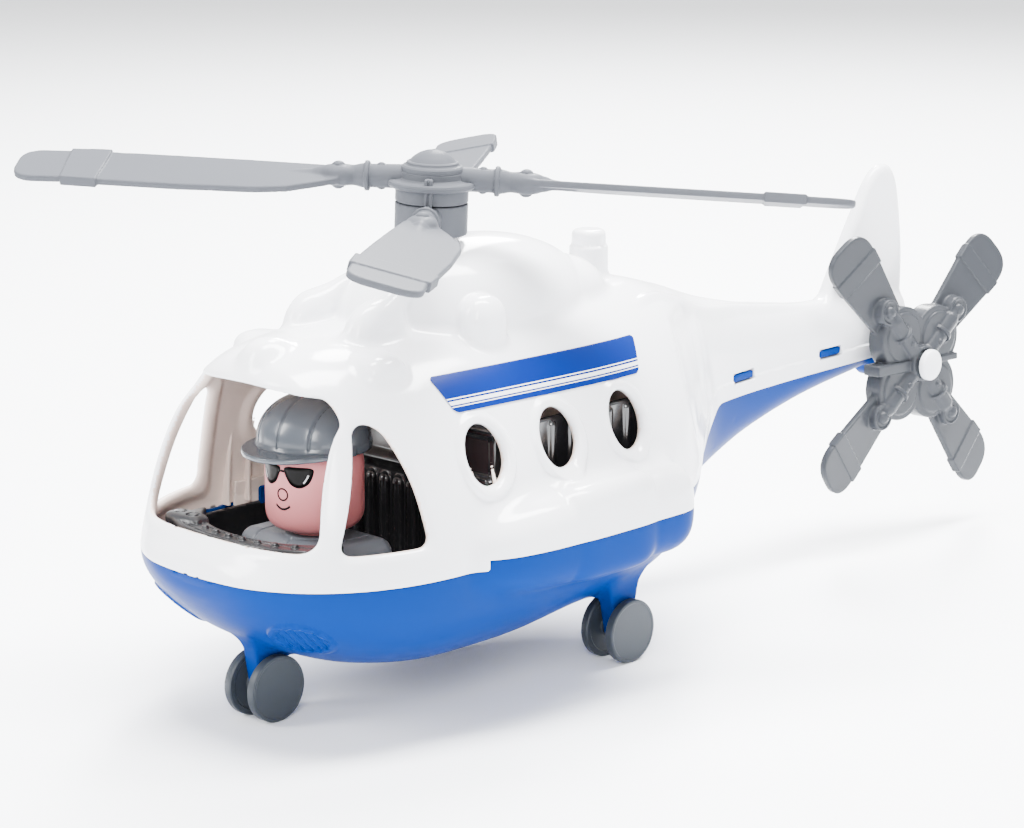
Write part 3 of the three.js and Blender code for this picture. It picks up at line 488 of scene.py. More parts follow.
def roof_details(x, y, z):
    """What stands up from the roof: engine cowl, intakes, nose bump, beacon and fin."""
    flank = np.abs(y)
    cowl = bulge(x, y, z, **COWL)
    fairing = bulge(x, y, z, (-47, 0, 117.5), (26, 21, 16.5), 2.5)
    pad = bulge(x, flank, z, (4, 25.5, 119.5), (8.5, 7.5, 10.5), 2.6)
    low_pad = bulge(x, flank, z, (51, 27, 111.5), (8.5, 8, 6.5), 2.6)
    spine = capsule(x, flank, z, (40, 14, 125.5), (10, 10, 138), 4.6, 3)
    intake = smooth_min(bulge(x, flank, z, **INTAKE), spine, 4)
    lamp = bulge(x, flank, z, (45.5, 13.2, 117), (8, 4.6, 8.2), 2)
    intake = smooth_min(intake, lamp, 0.6)
    bump = bulge(x, y, z, **NOSE_BUMP)
    across = np.hypot(x - BEACON_X, y)
    beacon = np.minimum(post(across, z, 6.7, 105, 133.5, 1), post(across, z, 5.9, 105, 139, 2.4))
    whole = smooth_min(cowl, fairing, 0.8)
    whole = smooth_min(whole, pad, 1.2)
    whole = smooth_min(whole, intake, 1.6)
    whole = np.minimum(whole, low_pad)
    return np.minimum(whole, bump), np.minimum(beacon, fin(x, y, z))


def upper_outside(x, y, z):
    roof, upright = roof_details(x, y, z)
    whole = smooth_min(skin(x, y, z), roof, 2.6)
    whole = smooth_min(whole, upright, 3)
    edge = above_seam(x, y, z)
    band = step_up(6.6 - edge, 0, 0.5) * step_up(-112 - x, 0, 3)
    # A crease runs along each side of the boom's roof.
    ridge = np.abs(y) - np.interp(x, [-190, -150, -120, -95, -70], [2, 4.5, 10, 17, 25])
    ridge = 0.9 * step_up(2.4 - np.abs(ridge), 0, 2.4) * step_up(z - waist_at(x), 6, 14) * step_up(-68 - x, 0, 14)
    return whole - 0.55 * band - ridge * step_up(x + 200, 0, 30)


def windows(x, y, z):
    front = smooth_max(convex(y, z, WINDSHIELD, 7), WINDSHIELD_BACK - x, 3)
    side = smooth_max(convex(x, z, SIDE_WINDOW, 4.5), 20 - np.abs(y), 2)
    holes = smooth_max(portholes(x, z), 20 - np.abs(y), 2)
    return np.minimum(np.minimum(front, side), holes)


def tab_slots(x, y, z, grow):
    slots = [
        brick(x, np.abs(y), z, (at, 8, TAB["z"]), (TAB["long"] + grow, 9, TAB["high"] + grow), 0.8) for at in TAB_XS
    ]
    return np.minimum(*slots)


def tail_boss(x, y, z):
    return post(np.hypot(x - TAIL_HUB[0], z - TAIL_HUB[2]), y, 8, -6, 11.8, 0.8)


def upper_shell(x, y, z):
    outside = upper_outside(x, y, z)
    holes = windows(x, y, z)
    hollow = np.minimum(fuselage(x, y, z), bulge(x, y, z, **COWL)) + WALL + LIP * step_up(7 - holes, 0, 4)
    hollow = hollow + facet_depth(x, y, z)
    wall = smooth_max(outside, -hollow, 0.8)
    across = np.hypot(x, y)
    wall = smooth_min(wall, post(across, z, 7.5, 114, 145, 0.6), 1.5)
    wall = np.maximum(wall, -(post(across, z, 3.15, 100, 150)))
    wall = smooth_max(wall, -holes, 2.8)
    wall = smooth_max(wall, -tab_slots(x, y, z, 0.3), 0.4)
    boss = np.hypot(x - TAIL_HUB[0], z - TAIL_HUB[2]) - 8.3
    wall = np.maximum(wall, -boss)
    return np.maximum(wall, GAP - above_seam(x, y, z))


def strut(x, y, z, gear):
    height = np.clip((z - WHEEL["radius"]) / (gear["top"] - WHEEL["radius"]), 0, 1)
    front = gear["x"] + 4 + (gear["front"] - 4) * height
    back = gear["x"] - 4 - (gear["back"] - 4) * height
    round_end = np.hypot(x - gear["x"], z - WHEEL["radius"]) - 4
    side = smooth_max(x - front, back - x, 1)
    side = np.minimum(smooth_max(side, WHEEL["radius"] - z, 0.5), round_end)
    plate = smooth_max(side, np.abs(y - gear["y"]) - STRUT_THICKNESS / 2, 1)
    return np.maximum(plate, z - gear["top"])


def gears():
    return [NOSE_GEAR, REAR_GEAR, {**REAR_GEAR, "y": -REAR_GEAR["y"]}]


def hull_outside(x, y, z):
    body = skin(x, y, z)
    flank = np.abs(y)
    # An oval louvre low on each side of the nose, and creases along the belly of the boom.
    along = 0.9 * (flank - 28.5) - 0.43 * (x - 83.9)
    louvre = oval(along, z - 34.3, 9.6, 5.8)
    bead = 0.7 * step_up(1.5 - np.abs(louvre), 0, 1)
    ribs = 0.8 * np.abs(np.sin((along + 0.25 * (z - 34.3)) * math.pi / 3.1))
    inside = step_up(-louvre, 0.2, 1)
    body = body - (bead + (ribs - 0.7) * inside) * (flank > 12) * (x > 70)
    hollow = capsule(x, flank, z, (-145, 15, 60.5), (-215, 11.5, 68.5), 3.4, 2)
    body = smooth_max(body, -hollow, 2.5)
    return body


def lower_hull(x, y, z):
    wall = smooth_max(hull_outside(x, y, z), -(fuselage(x, y, z) + WALL), 0.8)
    wall = np.maximum(wall, GAP + above_seam(x, y, z))
    inner = fuselage(x, y, z) + 0.3
    pad = brick(x, y, z, (5, 0, 14.5), (32, 13, 2.9), 1)
    wall = smooth_min(wall, pad, 1.5)
    for gear in gears():
        leg = np.maximum(strut(x, y, z, gear), -(fuselage(x, y, z) + WALL))
        wall = smooth_min(wall, leg, 4)
    for at, side in ((60, 18), (-30, 25)):
        peg = np.maximum(post(np.hypot(x - at, np.abs(y) - side), z, 3, 5, TUB["floor"] - 0.3), inner)
        wall = np.minimum(wall, peg)
    boss = np.maximum(tail_boss(x, y, z), -(fuselage(x, y, z) + WALL))
    wall = smooth_min(wall, boss, 2)
    for gear in gears():
        bore = np.hypot(x - gear["x"], z - WHEEL["radius"]) - AXLE_RADIUS - 0.2
        wall = np.maximum(wall, -np.maximum(bore, np.abs(y - gear["y"]) - 20))
    return wall


def build_hull():
    top = meshed(
        "shell_upper", upper_shell, (-262, -72, 46), (110, 72, 153), SHELL_STEP,
        edges=[(upper_outside, lambda x, y, z: GAP - above_seam(x, y, z))],
    )
    low = meshed(
        "hull_lower", lower_hull, (-262, -76, 3), (110, 76, 80), SHELL_STEP,
        edges=[(hull_outside, lambda x, y, z: GAP + above_seam(x, y, z))],
    )
    tabs = []
    for number, at in enumerate(TAB_XS):
        for side in (-1, 1):
            def tab(x, y, z, at=at, side=side):
                body = fuselage(x, y, z)
                block = brick(x, side * y, z, (at, 8, TAB["z"]), (TAB["long"] - 0.25, 9, TAB["high"] - 0.25), 0.7)
                shell = smooth_max(body + 0.1, -(body + WALL + 0.2), 0.4)
                return smooth_max(block, shell, 0.8)
            wide = float(side_at(np.array([at]))[0])
            low_y, high_y = sorted((side * (wide - 5), side * (wide + 2)))
            tabs.append(meshed(
                f"snap_tab_{number}_{'port' if side > 0 else 'starboard'}", tab,
                (at - 8, low_y, TAB["z"] - 3), (at + 8, high_y, TAB["z"] + 3), 0.3,
            ))
    return top, low, tabs


def wall_ribs(x, y, z):
    """Thin upright fins inside the cockpit's wall, that run out to nothing at the top."""
    nearest = np.clip(np.round((x - WALL_RIBS["x"]) / WALL_RIBS["pitch"]), -1, 1) * WALL_RIBS["pitch"] + WALL_RIBS["x"]
    depth = WALL_RIBS["deep"] * np.clip((WALL_RIBS["top"] - z) / (WALL_RIBS["top"] - WALL_RIBS["bottom"]), -1, 1)
    inside = fuselage(x, y, z) + WALL
    fin_body = smooth_max(np.abs(x - nearest) - WALL_RIBS["half"], -(inside + depth), 0.4)
    return np.maximum(np.maximum(fin_body, inside - 0.6), WALL_RIBS["bottom"] - z)


def wall_lining(x, y, z):
    """The shell's wall runs down inside the hull's where the joint steps up over the pods."""
    inside = fuselage(x, y, z) + WALL
    return np.maximum(np.maximum(np.abs(inside + 0.8) - 0.6, np.abs(z - 56) - 4.4), np.abs(x - 28) - 11)


def hull_tongue(x, y, z):
    """A blue tab that stands up from the hull inside each cockpit wall."""
    inside = fuselage(x, y, z) + WALL
    tab = smooth_max(np.abs(x - 27) - 2, z - 57, 1)
    tab = smooth_max(tab, np.abs(inside + 2.2) - 0.6, 0.3)
    return np.maximum(tab, 51 - z)


def build_cockpit_wall():
    """The fins and the tab of each side, with the slot each belongs to."""
    made = []
    for word, side in (("port", 1), ("starboard", -1)):
        low_y, high_y = sorted((side * 44, side * 60))
        made.append(("white", "white_shell", meshed(
            f"wall_ribs_{word}", wall_ribs, (22, low_y, 52), (50, high_y, 82), 0.35,
        )))
        made.append(("white", "white_shell", meshed(
            f"wall_lining_{word}", wall_lining, (16, low_y, 51), (40, high_y, 61), 0.4,
        )))
        made.append(("blue", "blue_hull", meshed(
            f"hull_tongue_{word}", hull_tongue, (24, low_y, 50), (30, high_y, 60), 0.3,
        )))
    return made


# ---- Cabin ----


def tub(x, y, z):
    flank = np.abs(y)
    floor = brick(x, y, z, (-20, 0, TUB["floor"] + 1.2), (36, TUB["half"], 1.2), 0.5)
    # The front of the insert is a basin just inside the hull.
    inside = fuselage(x, y, z) + WALL + 0.3
    wall = smooth_max(inside, -(inside + TUB["wall"]), 0.4)
    bottom = np.maximum(inside, z - TUB["floor"] - TUB["wall"])
    basin = np.maximum(np.maximum(TUB["floor"] - z, z - TUB["rim"]), TUB["seat"] - x)
    basin = smooth_max(smooth_min(wall, bottom, 2), basin, 0.6)
    floor = np.minimum(floor, basin)
    back = brick(x, y, z, (TUB["seat"] - 1.2, 0, 64), (1.2, TUB["half"], 26.5), 0.5)
    # Flutes: upright half rounds across the seat back, each ending in a rounded head under the top roll.
    pitch = 6.4
    nearest = np.clip(np.round(y / pitch), -6, 6) * pitch
    flute = capsule(x, y - nearest, z, (TUB["seat"], 0, 42), (TUB["seat"], 0, 66), 2.4)
    roll = capsule(x, y, z, (TUB["seat"] - 0.5, -TUB["half"] + 3, 73), (TUB["seat"] - 0.5, TUB["half"] - 3, 73), 2.4)
    top_roll = capsule(x, y, z, (TUB["seat"] - 1, -TUB["half"] + 1, 89), (TUB["seat"] - 1, TUB["half"] - 1, 89), 2)
    roll = np.minimum(roll, top_roll)
    side = brick(x, flank, z, (-19, TUB["half"] - 1.2, 64), (35, 1.2, 26.5), 0.5)
    rib_x = np.clip(np.round((x + 19) / 9), -3, 3) * 9 - 19
    rib = capsule(x - rib_x, flank, z, (0, TUB["half"], 42), (0, TUB["half"], 88), 1.3)
    whole = smooth_min(smooth_min(floor, back, 1.5), roll, 1)
    whole = smooth_min(whole, flute, 0.5)
    whole = smooth_min(whole, side, 1)
    return smooth_min(whole, rib, 0.8)


def nose_plan(y, inset):
    share = np.clip(np.abs(y) / (CABIN_HALF_WIDTH - inset + 3), 0, 0.999)
    return NOSE_START + (NOSE_X - NOSE_START - inset) * (1 - share**NOSE_POWER) ** (1 / NOSE_POWER)


def dashboard(x, y, z):
    front, back = nose_plan(y, 10.5), nose_plan(y / 0.94, 19.5)
    plan = smooth_max(smooth_max((x - front) * 0.92, (back - x) * 0.92, 1), np.abs(y) - 33, 2)
    strip = smooth_max(plan, np.abs(z - 59.8) - 2.4, 0.8)
    lip = smooth_max(np.abs((x - front + 1) * 0.92) - 0.6, np.abs(y) - 32, 1)
    lip = smooth_max(lip, np.abs(z - 62) - 0.9, 0.5)
    # Two fine grooves run along the strip, and a row of buttons stands behind them.
    along = np.minimum(np.abs(x - front + 3.2), np.abs(x - front + 7.4)) - 0.35
    groove = smooth_max(np.maximum(along, np.abs(y) - 29), np.abs(z - 62.2) - 0.5, 0.3)
    knob_y = np.clip(np.round(y / 6.2), -4, 4) * 6.2
    knob = post(np.hypot(x - nose_plan(knob_y, 16), y - knob_y), z, 1.1, 61, 63.2, 0.6)
    # The round-ended console at the starboard end carries two dials.
    console_at = (float(nose_plan(np.array([-26.0]), 15)[0]), -26, 61.6)
    console = bulge(x, y, z, console_at, (4.4, 8.2, 2.6), 3)
    dial_y = console_at[1] + np.where(y > console_at[1], 3.2, -3.2)
    dial = np.hypot(x - console_at[0], y - dial_y)
    dials = smooth_max(np.abs(dial - 1.9) - 0.35, np.abs(z - 64.2) - 0.5, 0.2)
    foot = brick(x, y, z, (85.5, 0, 50), (3, 4, 9.2), 0.6)
    whole = smooth_min(smooth_max(strip, -groove, 0.4), lip, 0.4)
    whole = smooth_min(whole, knob, 0.3)
    whole = smooth_min(whole, smooth_max(console, -dials, 0.3), 0.8)
    return smooth_min(whole, foot, 1.5)


# ---- Pilot ----


def torso(x, y, z):
    px = x - PILOT_X
    flank = np.abs(y)
    body = brick(px, y, z, (0, 0, 47.6), (13.5, 24, 9), 5)
    body = smooth_max(body, 40.6 - z, 1)
    collar = smooth_max(np.hypot(px, y) - 9.6, np.abs(z - 56) - 0.9, 0.6)
    # A sleeve line down each side and a placket down the front.
    sleeve = np.abs(flank - 15.5 + 0.1 * (z - 50)) - 0.3
    placket = np.maximum(np.abs(y) - 0.35, -px)
    lines = smooth_max(np.minimum(sleeve, placket), -(body + 0.5), 0.2)
    body = smooth_max(body, -lines, 0.5)
    return smooth_min(body, collar, 1)


def head(x, y, z):
    across = np.hypot(x - PILOT_X, y)
    face = smooth_max(across - HEAD_RADIUS, np.abs(z - 72.4) - 13.8, 7)
    neck = post(across, z, 8, 57.2, 60, 0.4)
    crown = post(across, z, 12.8, 80, 91.2, 1)
    return np.minimum(smooth_min(face, neck, 1.5), crown)


def cap(x, y, z):
    angle = math.radians(FACE_TURN)
    px, py = x - PILOT_X, y
    along = px * math.cos(angle) + py * math.sin(angle)
    across = -px * math.sin(angle) + py * math.cos(angle)
    around = np.hypot(along, across)
    bend = np.sqrt((np.maximum(z - 88, 0) / 14.5) ** 2 + (around / 18.2) ** 2)
    dome = np.maximum((bend - 1) * 15.5, 84.6 - z)
    # Panel creases over the top of the cap.
    ridge = np.abs(across) - 0.35
    cross = np.abs(np.abs(across) - 9.5 - 0.04 * along) - 0.3
    grooves = smooth_max(np.minimum(ridge, cross), -(dome + 0.55), 0.3)
    dome = smooth_max(dome, -grooves, 0.5)
    rim = smooth_max(around - 18.5, np.abs(z - 86) - 1.4, 0.8)
    peak = oval(along - 4.3, across, 22.2, 18.6)
    drop = 0.002 * np.maximum(along - 12, 0) ** 2
    level = z + drop - 85.5
    brim = smooth_max(np.maximum(peak, 2 - along), np.abs(level) - 0.85, 0.7)
    whole = smooth_min(smooth_min(dome, rim, 0.6), brim, 1)
    inside = np.minimum(
        np.maximum(around - HEAD_RADIUS - 0.3, z - 86.5),
        np.maximum(around - 13.1, z - 91.5),
    )
    return np.maximum(whole, -inside)


def face_patch(name, outline, lift, thickness=0.08):
    """A printed shape on the head: an outline in (arc, z) wrapped round it as a thin skin."""
    outline = np.array(outline, float)
    count = len(outline)
    middle = outline.mean(0)
    rings = [1.0, 0.66, 0.33]
    flat = np.concatenate([middle + (outline - middle) * r for r in rings] + [middle[None]])

    def wrapped(radius):
        angle = math.radians(FACE_TURN) + flat[:, 0] / HEAD_RADIUS
        return np.stack([PILOT_X + radius * np.cos(angle), radius * np.sin(angle), flat[:, 1]], -1)

    outer, inner = wrapped(HEAD_RADIUS + lift + thickness), wrapped(HEAD_RADIUS + lift)
    total = len(flat)
    quads, fans = [], []
    for k in range(count):
        n = (k + 1) % count
        for row in range(len(rings) - 1):
            a, b = row * count, (row + 1) * count
            quads.append([a + k, a + n, b + n, b + k])
            quads.append([total + a + n, total + a + k, total + b + k, total + b + n])
        last = (len(rings) - 1) * count
        fans.append([last + k, last + n, total - 1])
        fans.append([total + last + n, total + last + k, 2 * total - 1])
        quads.append([k, total + k, total + n, n])
    return place(name, np.concatenate([outer, inner]), [np.array(fans), np.array(quads)])


def smooth_outline(points, per_side=10):
    """A closed curve through points, for printed shapes."""
    points = np.array(points, float)
    made = []
    for i in range(len(points)):
        p0, p1, p2, p3 = (points[(i + k) % len(points)] for k in (-1, 0, 1, 2))
        for t in np.arange(per_side) / per_side:
            made.append(0.5 * (2 * p1 + (p2 - p0) * t + (2 * p0 - 5 * p1 + 4 * p2 - p3) * t**2
                               + (3 * p1 - p0 - 3 * p2 + p3) * t**3))
    return np.array(made)


def stroke(points, width):
    """The outline of a line of that width along points."""
    points = np.array(points, float)
    way = np.gradient(points, axis=0)
    way /= np.linalg.norm(way, axis=1, keepdims=True)
    side = np.stack([-way[:, 1], way[:, 0]], -1) * width / 2
    return np.concatenate([points + side, (points - side)[::-1]])


def face_strip(name, points, width, lift):
    """A printed line on the head."""
    outline = stroke(points, width)
    count = len(outline) // 2
    angle = math.radians(FACE_TURN) + outline[:, 0] / HEAD_RADIUS
    layers = []
    for radius in (HEAD_RADIUS + lift + 0.08, HEAD_RADIUS + lift):
        layers.append(np.stack([PILOT_X + radius * np.cos(angle), radius * np.sin(angle), outline[:, 1]], -1))
    total = 2 * count
    quads = []
    for k in range(count - 1):
        a, b, c, d = k, k + 1, total - 2 - k, total - 1 - k
        quads.append([a, b, c, d])
        quads.append([total + d, total + c, total + b, total + a])
        quads.append([a, total + a, total + b, b])
        quads.append([c, total + c, total + d, d])
    quads.append([0, total - 1, 2 * total - 1, total])
    quads.append([count - 1, total + count - 1, total + count, count])
    return place(name, np.concatenate(layers), [np.array(quads)])


LENS = [(1.0, 80.9), (5.5, 81.3), (10.2, 81.0), (10.5, 79.0), (9.1, 76.2), (6.2, 74.7), (3.4, 75.5), (1.6, 77.9)]


def build_face():
    pieces = []
    for side, word in ((1, "port"), (-1, "starboard")):
        flip = np.array([side, 1])
        outline = smooth_outline(np.array(LENS) * flip)
        pieces.append((face_patch(f"print_lens_{word}", outline, 0.02), "ink"))
        rim = smooth_outline((np.array(LENS) - (5.9, 77.4)) * (1.1, 1.12) + (5.9, 77.4))
        rim = rim * flip
        arc = [((9.1 - 0.55 * k) * side, 79.0 - 1.15 * k + 0.09 * k * k) for k in np.linspace(0, 3, 12)]
        pieces.append((face_strip(f"print_glint_{word}", arc, 0.5, 0.14), "glint"))
    bridge = [(-1.6, 79.6), (0, 79.75), (1.6, 79.6)]
    pieces.append((face_strip("print_bridge", bridge, 0.7, 0.01), "ink"))
    circle = np.linspace(0, 2 * math.pi, 41)[:-1]
    ring = np.stack([1.95 * np.cos(circle), 72.1 + 1.85 * np.sin(circle)], -1)
    closed = np.concatenate([ring, ring[:1]])
    pieces.append((face_strip("print_nose", closed, 0.5, 0.02), "ink"))
    bend = np.linspace(-1, 1, 17)
    smile = np.stack([2.75 * bend, 67.35 + 1.25 * bend**2], -1)
    pieces.append((face_strip("print_smile", smile, 0.68, 0.02), "ink"))
    return pieces


# ---- Main rotor ----


SHOULDER_XS, SHOULDER_HALVES = (28, 36, 46, 56, 80, 105, 120), (4.2, 8.8, 13.6, 14.9, 14.2, 12.2, 10.6)
PLAIN_XS, PLAIN_HALVES = (28, 36, 60, 86, 107, 120), (4.2, 6.0, 8.3, 10.4, 11.8, 12.0)


def paddle_edge(x, y):
    """How far a point lies outside the blade's two long edges: one has a shoulder, the other only widens."""
    shoulder = (y - np.interp(x, SHOULDER_XS, SHOULDER_HALVES)) * 0.93
    plain = -y - np.interp(x, PLAIN_XS, PLAIN_HALVES)
    return np.maximum(shoulder, plain)


def main_blade(x, y, z, bar):
    """One blade along +X: arm, collar, fork with rivets, and the pitched paddle with its rim and wrap band."""
    lift = math.radians(-bar["slope"])
    bx, bz = x * math.cos(lift) - z * math.sin(lift), x * math.sin(lift) + z * math.cos(lift)
    tilt = math.radians(PITCH)
    py, pz = y * math.cos(tilt) - bz * math.sin(tilt), y * math.sin(tilt) + bz * math.cos(tilt)
    outline = smooth_max(paddle_edge(bx, py), bx - 136.2, 8)
    outline = np.maximum(outline, 30 - bx)
    paddle = smooth_max(outline, np.abs(pz) - 1.1, 0.7)
    wrap = smooth_max(np.abs(bx - 113.5) - 6.4 + 0.03 * py, outline - 0.8, 0.4)
    wrap = smooth_max(wrap, np.abs(pz) - 1.65, 0.5)
    spine = capsule(bx, py, pz, (34, 0, 0.3), (46, 0, -0.6), 2.2, 0.8)
    arm_radius = bar["arm"]
    arm = capsule(bx, y, bz, (8, 0, 0), (22, 0, 0), arm_radius, arm_radius - 0.2)
    fork = capsule(bx, y, bz, (22, 0, 0), (36, 0, 0), arm_radius - 0.3, 2.3)
    knuckle = bulge(bx, y, bz, (30.5, 0, 0), (5.6, 4.9, 3.5), 2.6)
    collar = post(np.hypot(y, bz), bx, arm_radius + 0.95, 20.3, 21.9, 0.5)
    rivet = bulge(bx, y, np.abs(bz), (30.5, 0, 3.3), (2.1, 2.1, 1.3), 2)
    pin = bulge(bx, y, np.abs(bz), (16.5, 0, arm_radius - 0.3), (1.3, 1.3, 0.8), 2)
    whole = smooth_min(paddle, wrap, 0.4)
    whole = smooth_min(whole, spine, 1.4)
    whole = smooth_min(whole, fork, 1.6)
    whole = smooth_min(whole, knuckle, 1)
    whole = smooth_min(smooth_min(whole, arm, 1), collar, 0.4)
    return np.minimum(np.minimum(whole, rivet), pin)


def both_blades(x, y, z, bar):
    side = np.where(x < 0, -1.0, 1.0)
    return main_blade(x * side, y * side, z - bar["level"], bar)


def ring(across, z, radius, level, thick):
    return np.hypot(across - radius, z - level) - thick


def upper_bar(x, y, z):
    across = np.hypot(x, y)
    core = post(across, z, HUB_RADIUS - 0.5, -7.2, -1, 0.4)
    key = brick(x, np.abs(y), z, (0, HUB_RADIUS, -3.6), (1.3, 1.6, 4.8), 0.4)
    slot = brick(x, np.abs(y), z, (0, HUB_RADIUS + 1.7, -3.6), (0.35, 0.6, 5.2), 0.2)
    hub = smooth_min(core, key, 0.3)
    whole = smooth_min(hub, both_blades(x, y, z, UPPER_BAR), 1.2)
    whole = smooth_max(whole, -slot, 0.3)
    bore = np.minimum(post(across, z, ROTOR_BORE, -20, 1.4), smooth_max(across - 5.9, np.abs(z - 3.6) - 2.6, 1.5))
    return np.maximum(whole, -bore)


def lower_bar(x, y, z):
    across = np.hypot(x, y)
    hub = post(across, z, HUB_RADIUS, -18.2, -8.0, 0.3)
    blades = both_blades(x, y, z, LOWER_BAR)
    clearance = post(across, z, HUB_RADIUS + 2.2, -8.1, 10, 0.2)
    eye = post(np.hypot(y, z + 12.4), np.abs(x), 4.5, 6, HUB_RADIUS + 3.4, 0.8)
    ball_end = bulge(np.abs(x), y, z, (HUB_RADIUS + 3, 0, -12.4), (2.4, 2.9, 2.9), 2)
    whole = smooth_min(smooth_min(hub, eye, 0.6), blades, 1)
    whole = np.minimum(whole, ball_end)
    return np.maximum(np.maximum(whole, -clearance), -(post(across, z, ROTOR_BORE, -30, 10)))


def rotor_turn(angle):
    lean = turn_about(0, -ROTOR_LEAN[0]) @ turn_about(1, ROTOR_LEAN[1])
    return moved(0, 0, HUB_Z) @ lean @ turn_about(2, angle)


HUB_PROFILE = [
    (0, 6.2), (5.4, 6), (5.9, 5.4), (5.9, 1.4), (4.2, 1.4), (4.2, -7.7), (11.6, -7.7), (11.9, -7.4), (11.9, -3.3),
    (13.4, -3.2), (14.1, -2.8), (14.5, -2.2), (14.55, -1.7), (14.3, -1.1), (13.7, -0.7), (12.2, -0.6), (11, -0.45),
    (10.4, 0), (10.3, 0.6), (10.3, 1.7), (10.05, 2), (10.15, 2.3), (10.25, 2.9), (10.1, 3.5), (9.6, 4), (8.9, 4.2),
    (8.6, 4.5), (8.5, 5), (8.1, 5.3), (7.6, 5.35), (7.3, 5.6), (6.8, 6.2), (6, 6.9), (5, 7.6), (4, 8.15), (3, 8.5),
    (2, 8.8), (1, 8.95), (0, 9),
]


def build_rotor():
    upper = meshed(
        "bar_upper", upper_bar, (-140, -21, -12), (140, 21, 13), ROTOR_STEP, turn=rotor_turn(ROTOR_ANGLE + 90),
    )
    lower = meshed(
        "bar_lower", lower_bar, (-140, -21, -24), (140, 21, -3), ROTOR_STEP, turn=rotor_turn(ROTOR_ANGLE),
    )
    profile = [(0, 109.5), (6, 109.5), (6, 112), (3, 112), (3, 166.8), (4.5, 166.8), (4.5, 167.4), (2.4, 169.2),
               (0, 169.2)]
    hub = turned("hub_cap", HUB_PROFILE, 96, (0, 0, 0), turn=rotor_turn(0))
    return upper, lower, hub, turned("axle_post", profile, 40, (0, 0, 0))


# ---- Tail rotor ----


def tail_blade(x, y, z):
    tilt = math.radians(9)
    py, pz = y * math.cos(tilt) - z * math.sin(tilt), y * math.sin(tilt) + z * math.cos(tilt)
    wide = np.interp(x, [18, 30, 46, 54, 60], [6.8, 8.3, 10.3, 10.9, 10.8])
    outline = smooth_max((np.abs(py) - wide) * 0.98, x - 63.3, 9)
    outline = np.maximum(outline, 16 - x)
    paddle = smooth_max(outline, np.abs(pz) - 1.35, 0.7)
    band = smooth_max(np.abs(x - 49.5) - 3.4, outline - 0.35, 0.4)
    band = smooth_max(band, np.abs(pz) - 1.75, 0.3)
    front = TAIL_PLATE / 2
    arm = capsule(x, y, z, (6, 0, front), (23, 0, front - 0.2), 3.3, 3.5)
    collar = post(np.hypot(y, z - front), x, 4.4, 15.2, 16.8, 0.4)
    neck = capsule(x, y, z, (22, 0, front), (28, 0, front - 0.8), 2.6, 2.8)
    pad = post(np.hypot(x - 28.5, y), z, 5.1, -1, front + 0.9, 0.8)
    lip = ring(np.hypot(x - 28.5, y), z, 4.4, front + 0.7, 0.6)
    rivet = bulge(x, y, z, (28.5, 0, front + 0.6), (2.6, 2.6, 2.4), 2)
    screw = bulge(x, y, z, (11.5, 0, front + 2.9), (1.3, 1.3, 1.1), 2)
    whole = smooth_min(smooth_min(paddle, band, 0.3), pad, 0.8)
    whole = smooth_min(smooth_min(whole, arm, 1), neck, 0.8)
    whole = smooth_min(smooth_min(whole, collar, 0.4), lip, 0.3)
    return np.minimum(np.minimum(whole, rivet), screw)


def tail_rotor(x, y, z):
    base = math.radians(TAIL_ANGLE)
    angle = np.arctan2(y, x) - base
    turn = np.round(angle / (math.pi / 2)) * (math.pi / 2) + base
    lx = x * np.cos(turn) + y * np.sin(turn)
    ly = -x * np.sin(turn) + y * np.cos(turn)
    across = np.hypot(x, y)
    lobe = smooth_max(np.hypot(lx - 13.5, ly) - 12.5, np.abs(z) - TAIL_PLATE / 2, 1)
    step = smooth_max(np.hypot(lx - 14.5, ly) - 9.6, np.abs(z) - TAIL_PLATE / 2 - 0.7, 0.8)
    lobe = smooth_min(lobe, step, 0.4)
    hub = post(across, z, 7, -TAIL_PLATE / 2, TAIL_PLATE / 2 + 2.6, 0.7)
    collar = ring(across, z, 6.2, TAIL_PLATE / 2 + 2.6, 0.7)
    rib = brick(np.abs(x), y, z, (13.5, 0, 0.6), (8, 1.3, TAIL_PLATE / 2 + 0.6), 0.5)
    flat_rib = brick(x, y, z, (-16, 0, 1.4), (9.5, 2.1, TAIL_PLATE / 2 + 0.2), 0.6)
    whole = smooth_min(smooth_min(lobe, hub, 1), tail_blade(lx, ly, z), 0.8)
    whole = smooth_min(smooth_min(whole, rib, 0.5), collar, 0.4)
    whole = smooth_min(whole, smooth_max(flat_rib, across - 25, 0.5), 0.5)
    return np.maximum(whole, -(across - 3.0))


def tail_turn():
    basis = np.eye(4)
    basis[:3, 0], basis[:3, 1], basis[:3, 2] = (-1, 0, 0), (0, 0, 1), (0, 1, 0)
    return moved(*TAIL_HUB) @ basis


def build_tail():
    lean = turn_about(0, TAIL_LEAN[0]) @ turn_about(1, TAIL_LEAN[1])
    rotor = meshed(
        "tail_rotor_blades", tail_rotor, (-66, -66, -8), (66, 66, 9), SMALL_STEP, turn=tail_turn() @ lean,
    )
    under = TAIL_PLATE / 2 + 3.7
    cap_profile = [(0, -20), (2.4, -20), (2.4, under), (5.6, under), (6, under + 0.4), (6, under + 1.9)]
    cap_profile += [(6 * math.cos(a), under + 1.9 + 1.7 * math.sin(a)) for a in np.linspace(0.2, 1.4, 7)]
    cap_profile.append((0, under + 3.6))
    return rotor, turned("tail_pin_cap", cap_profile, 48, (0, 0, 0), turn=tail_turn())


# ---- Wheels ----


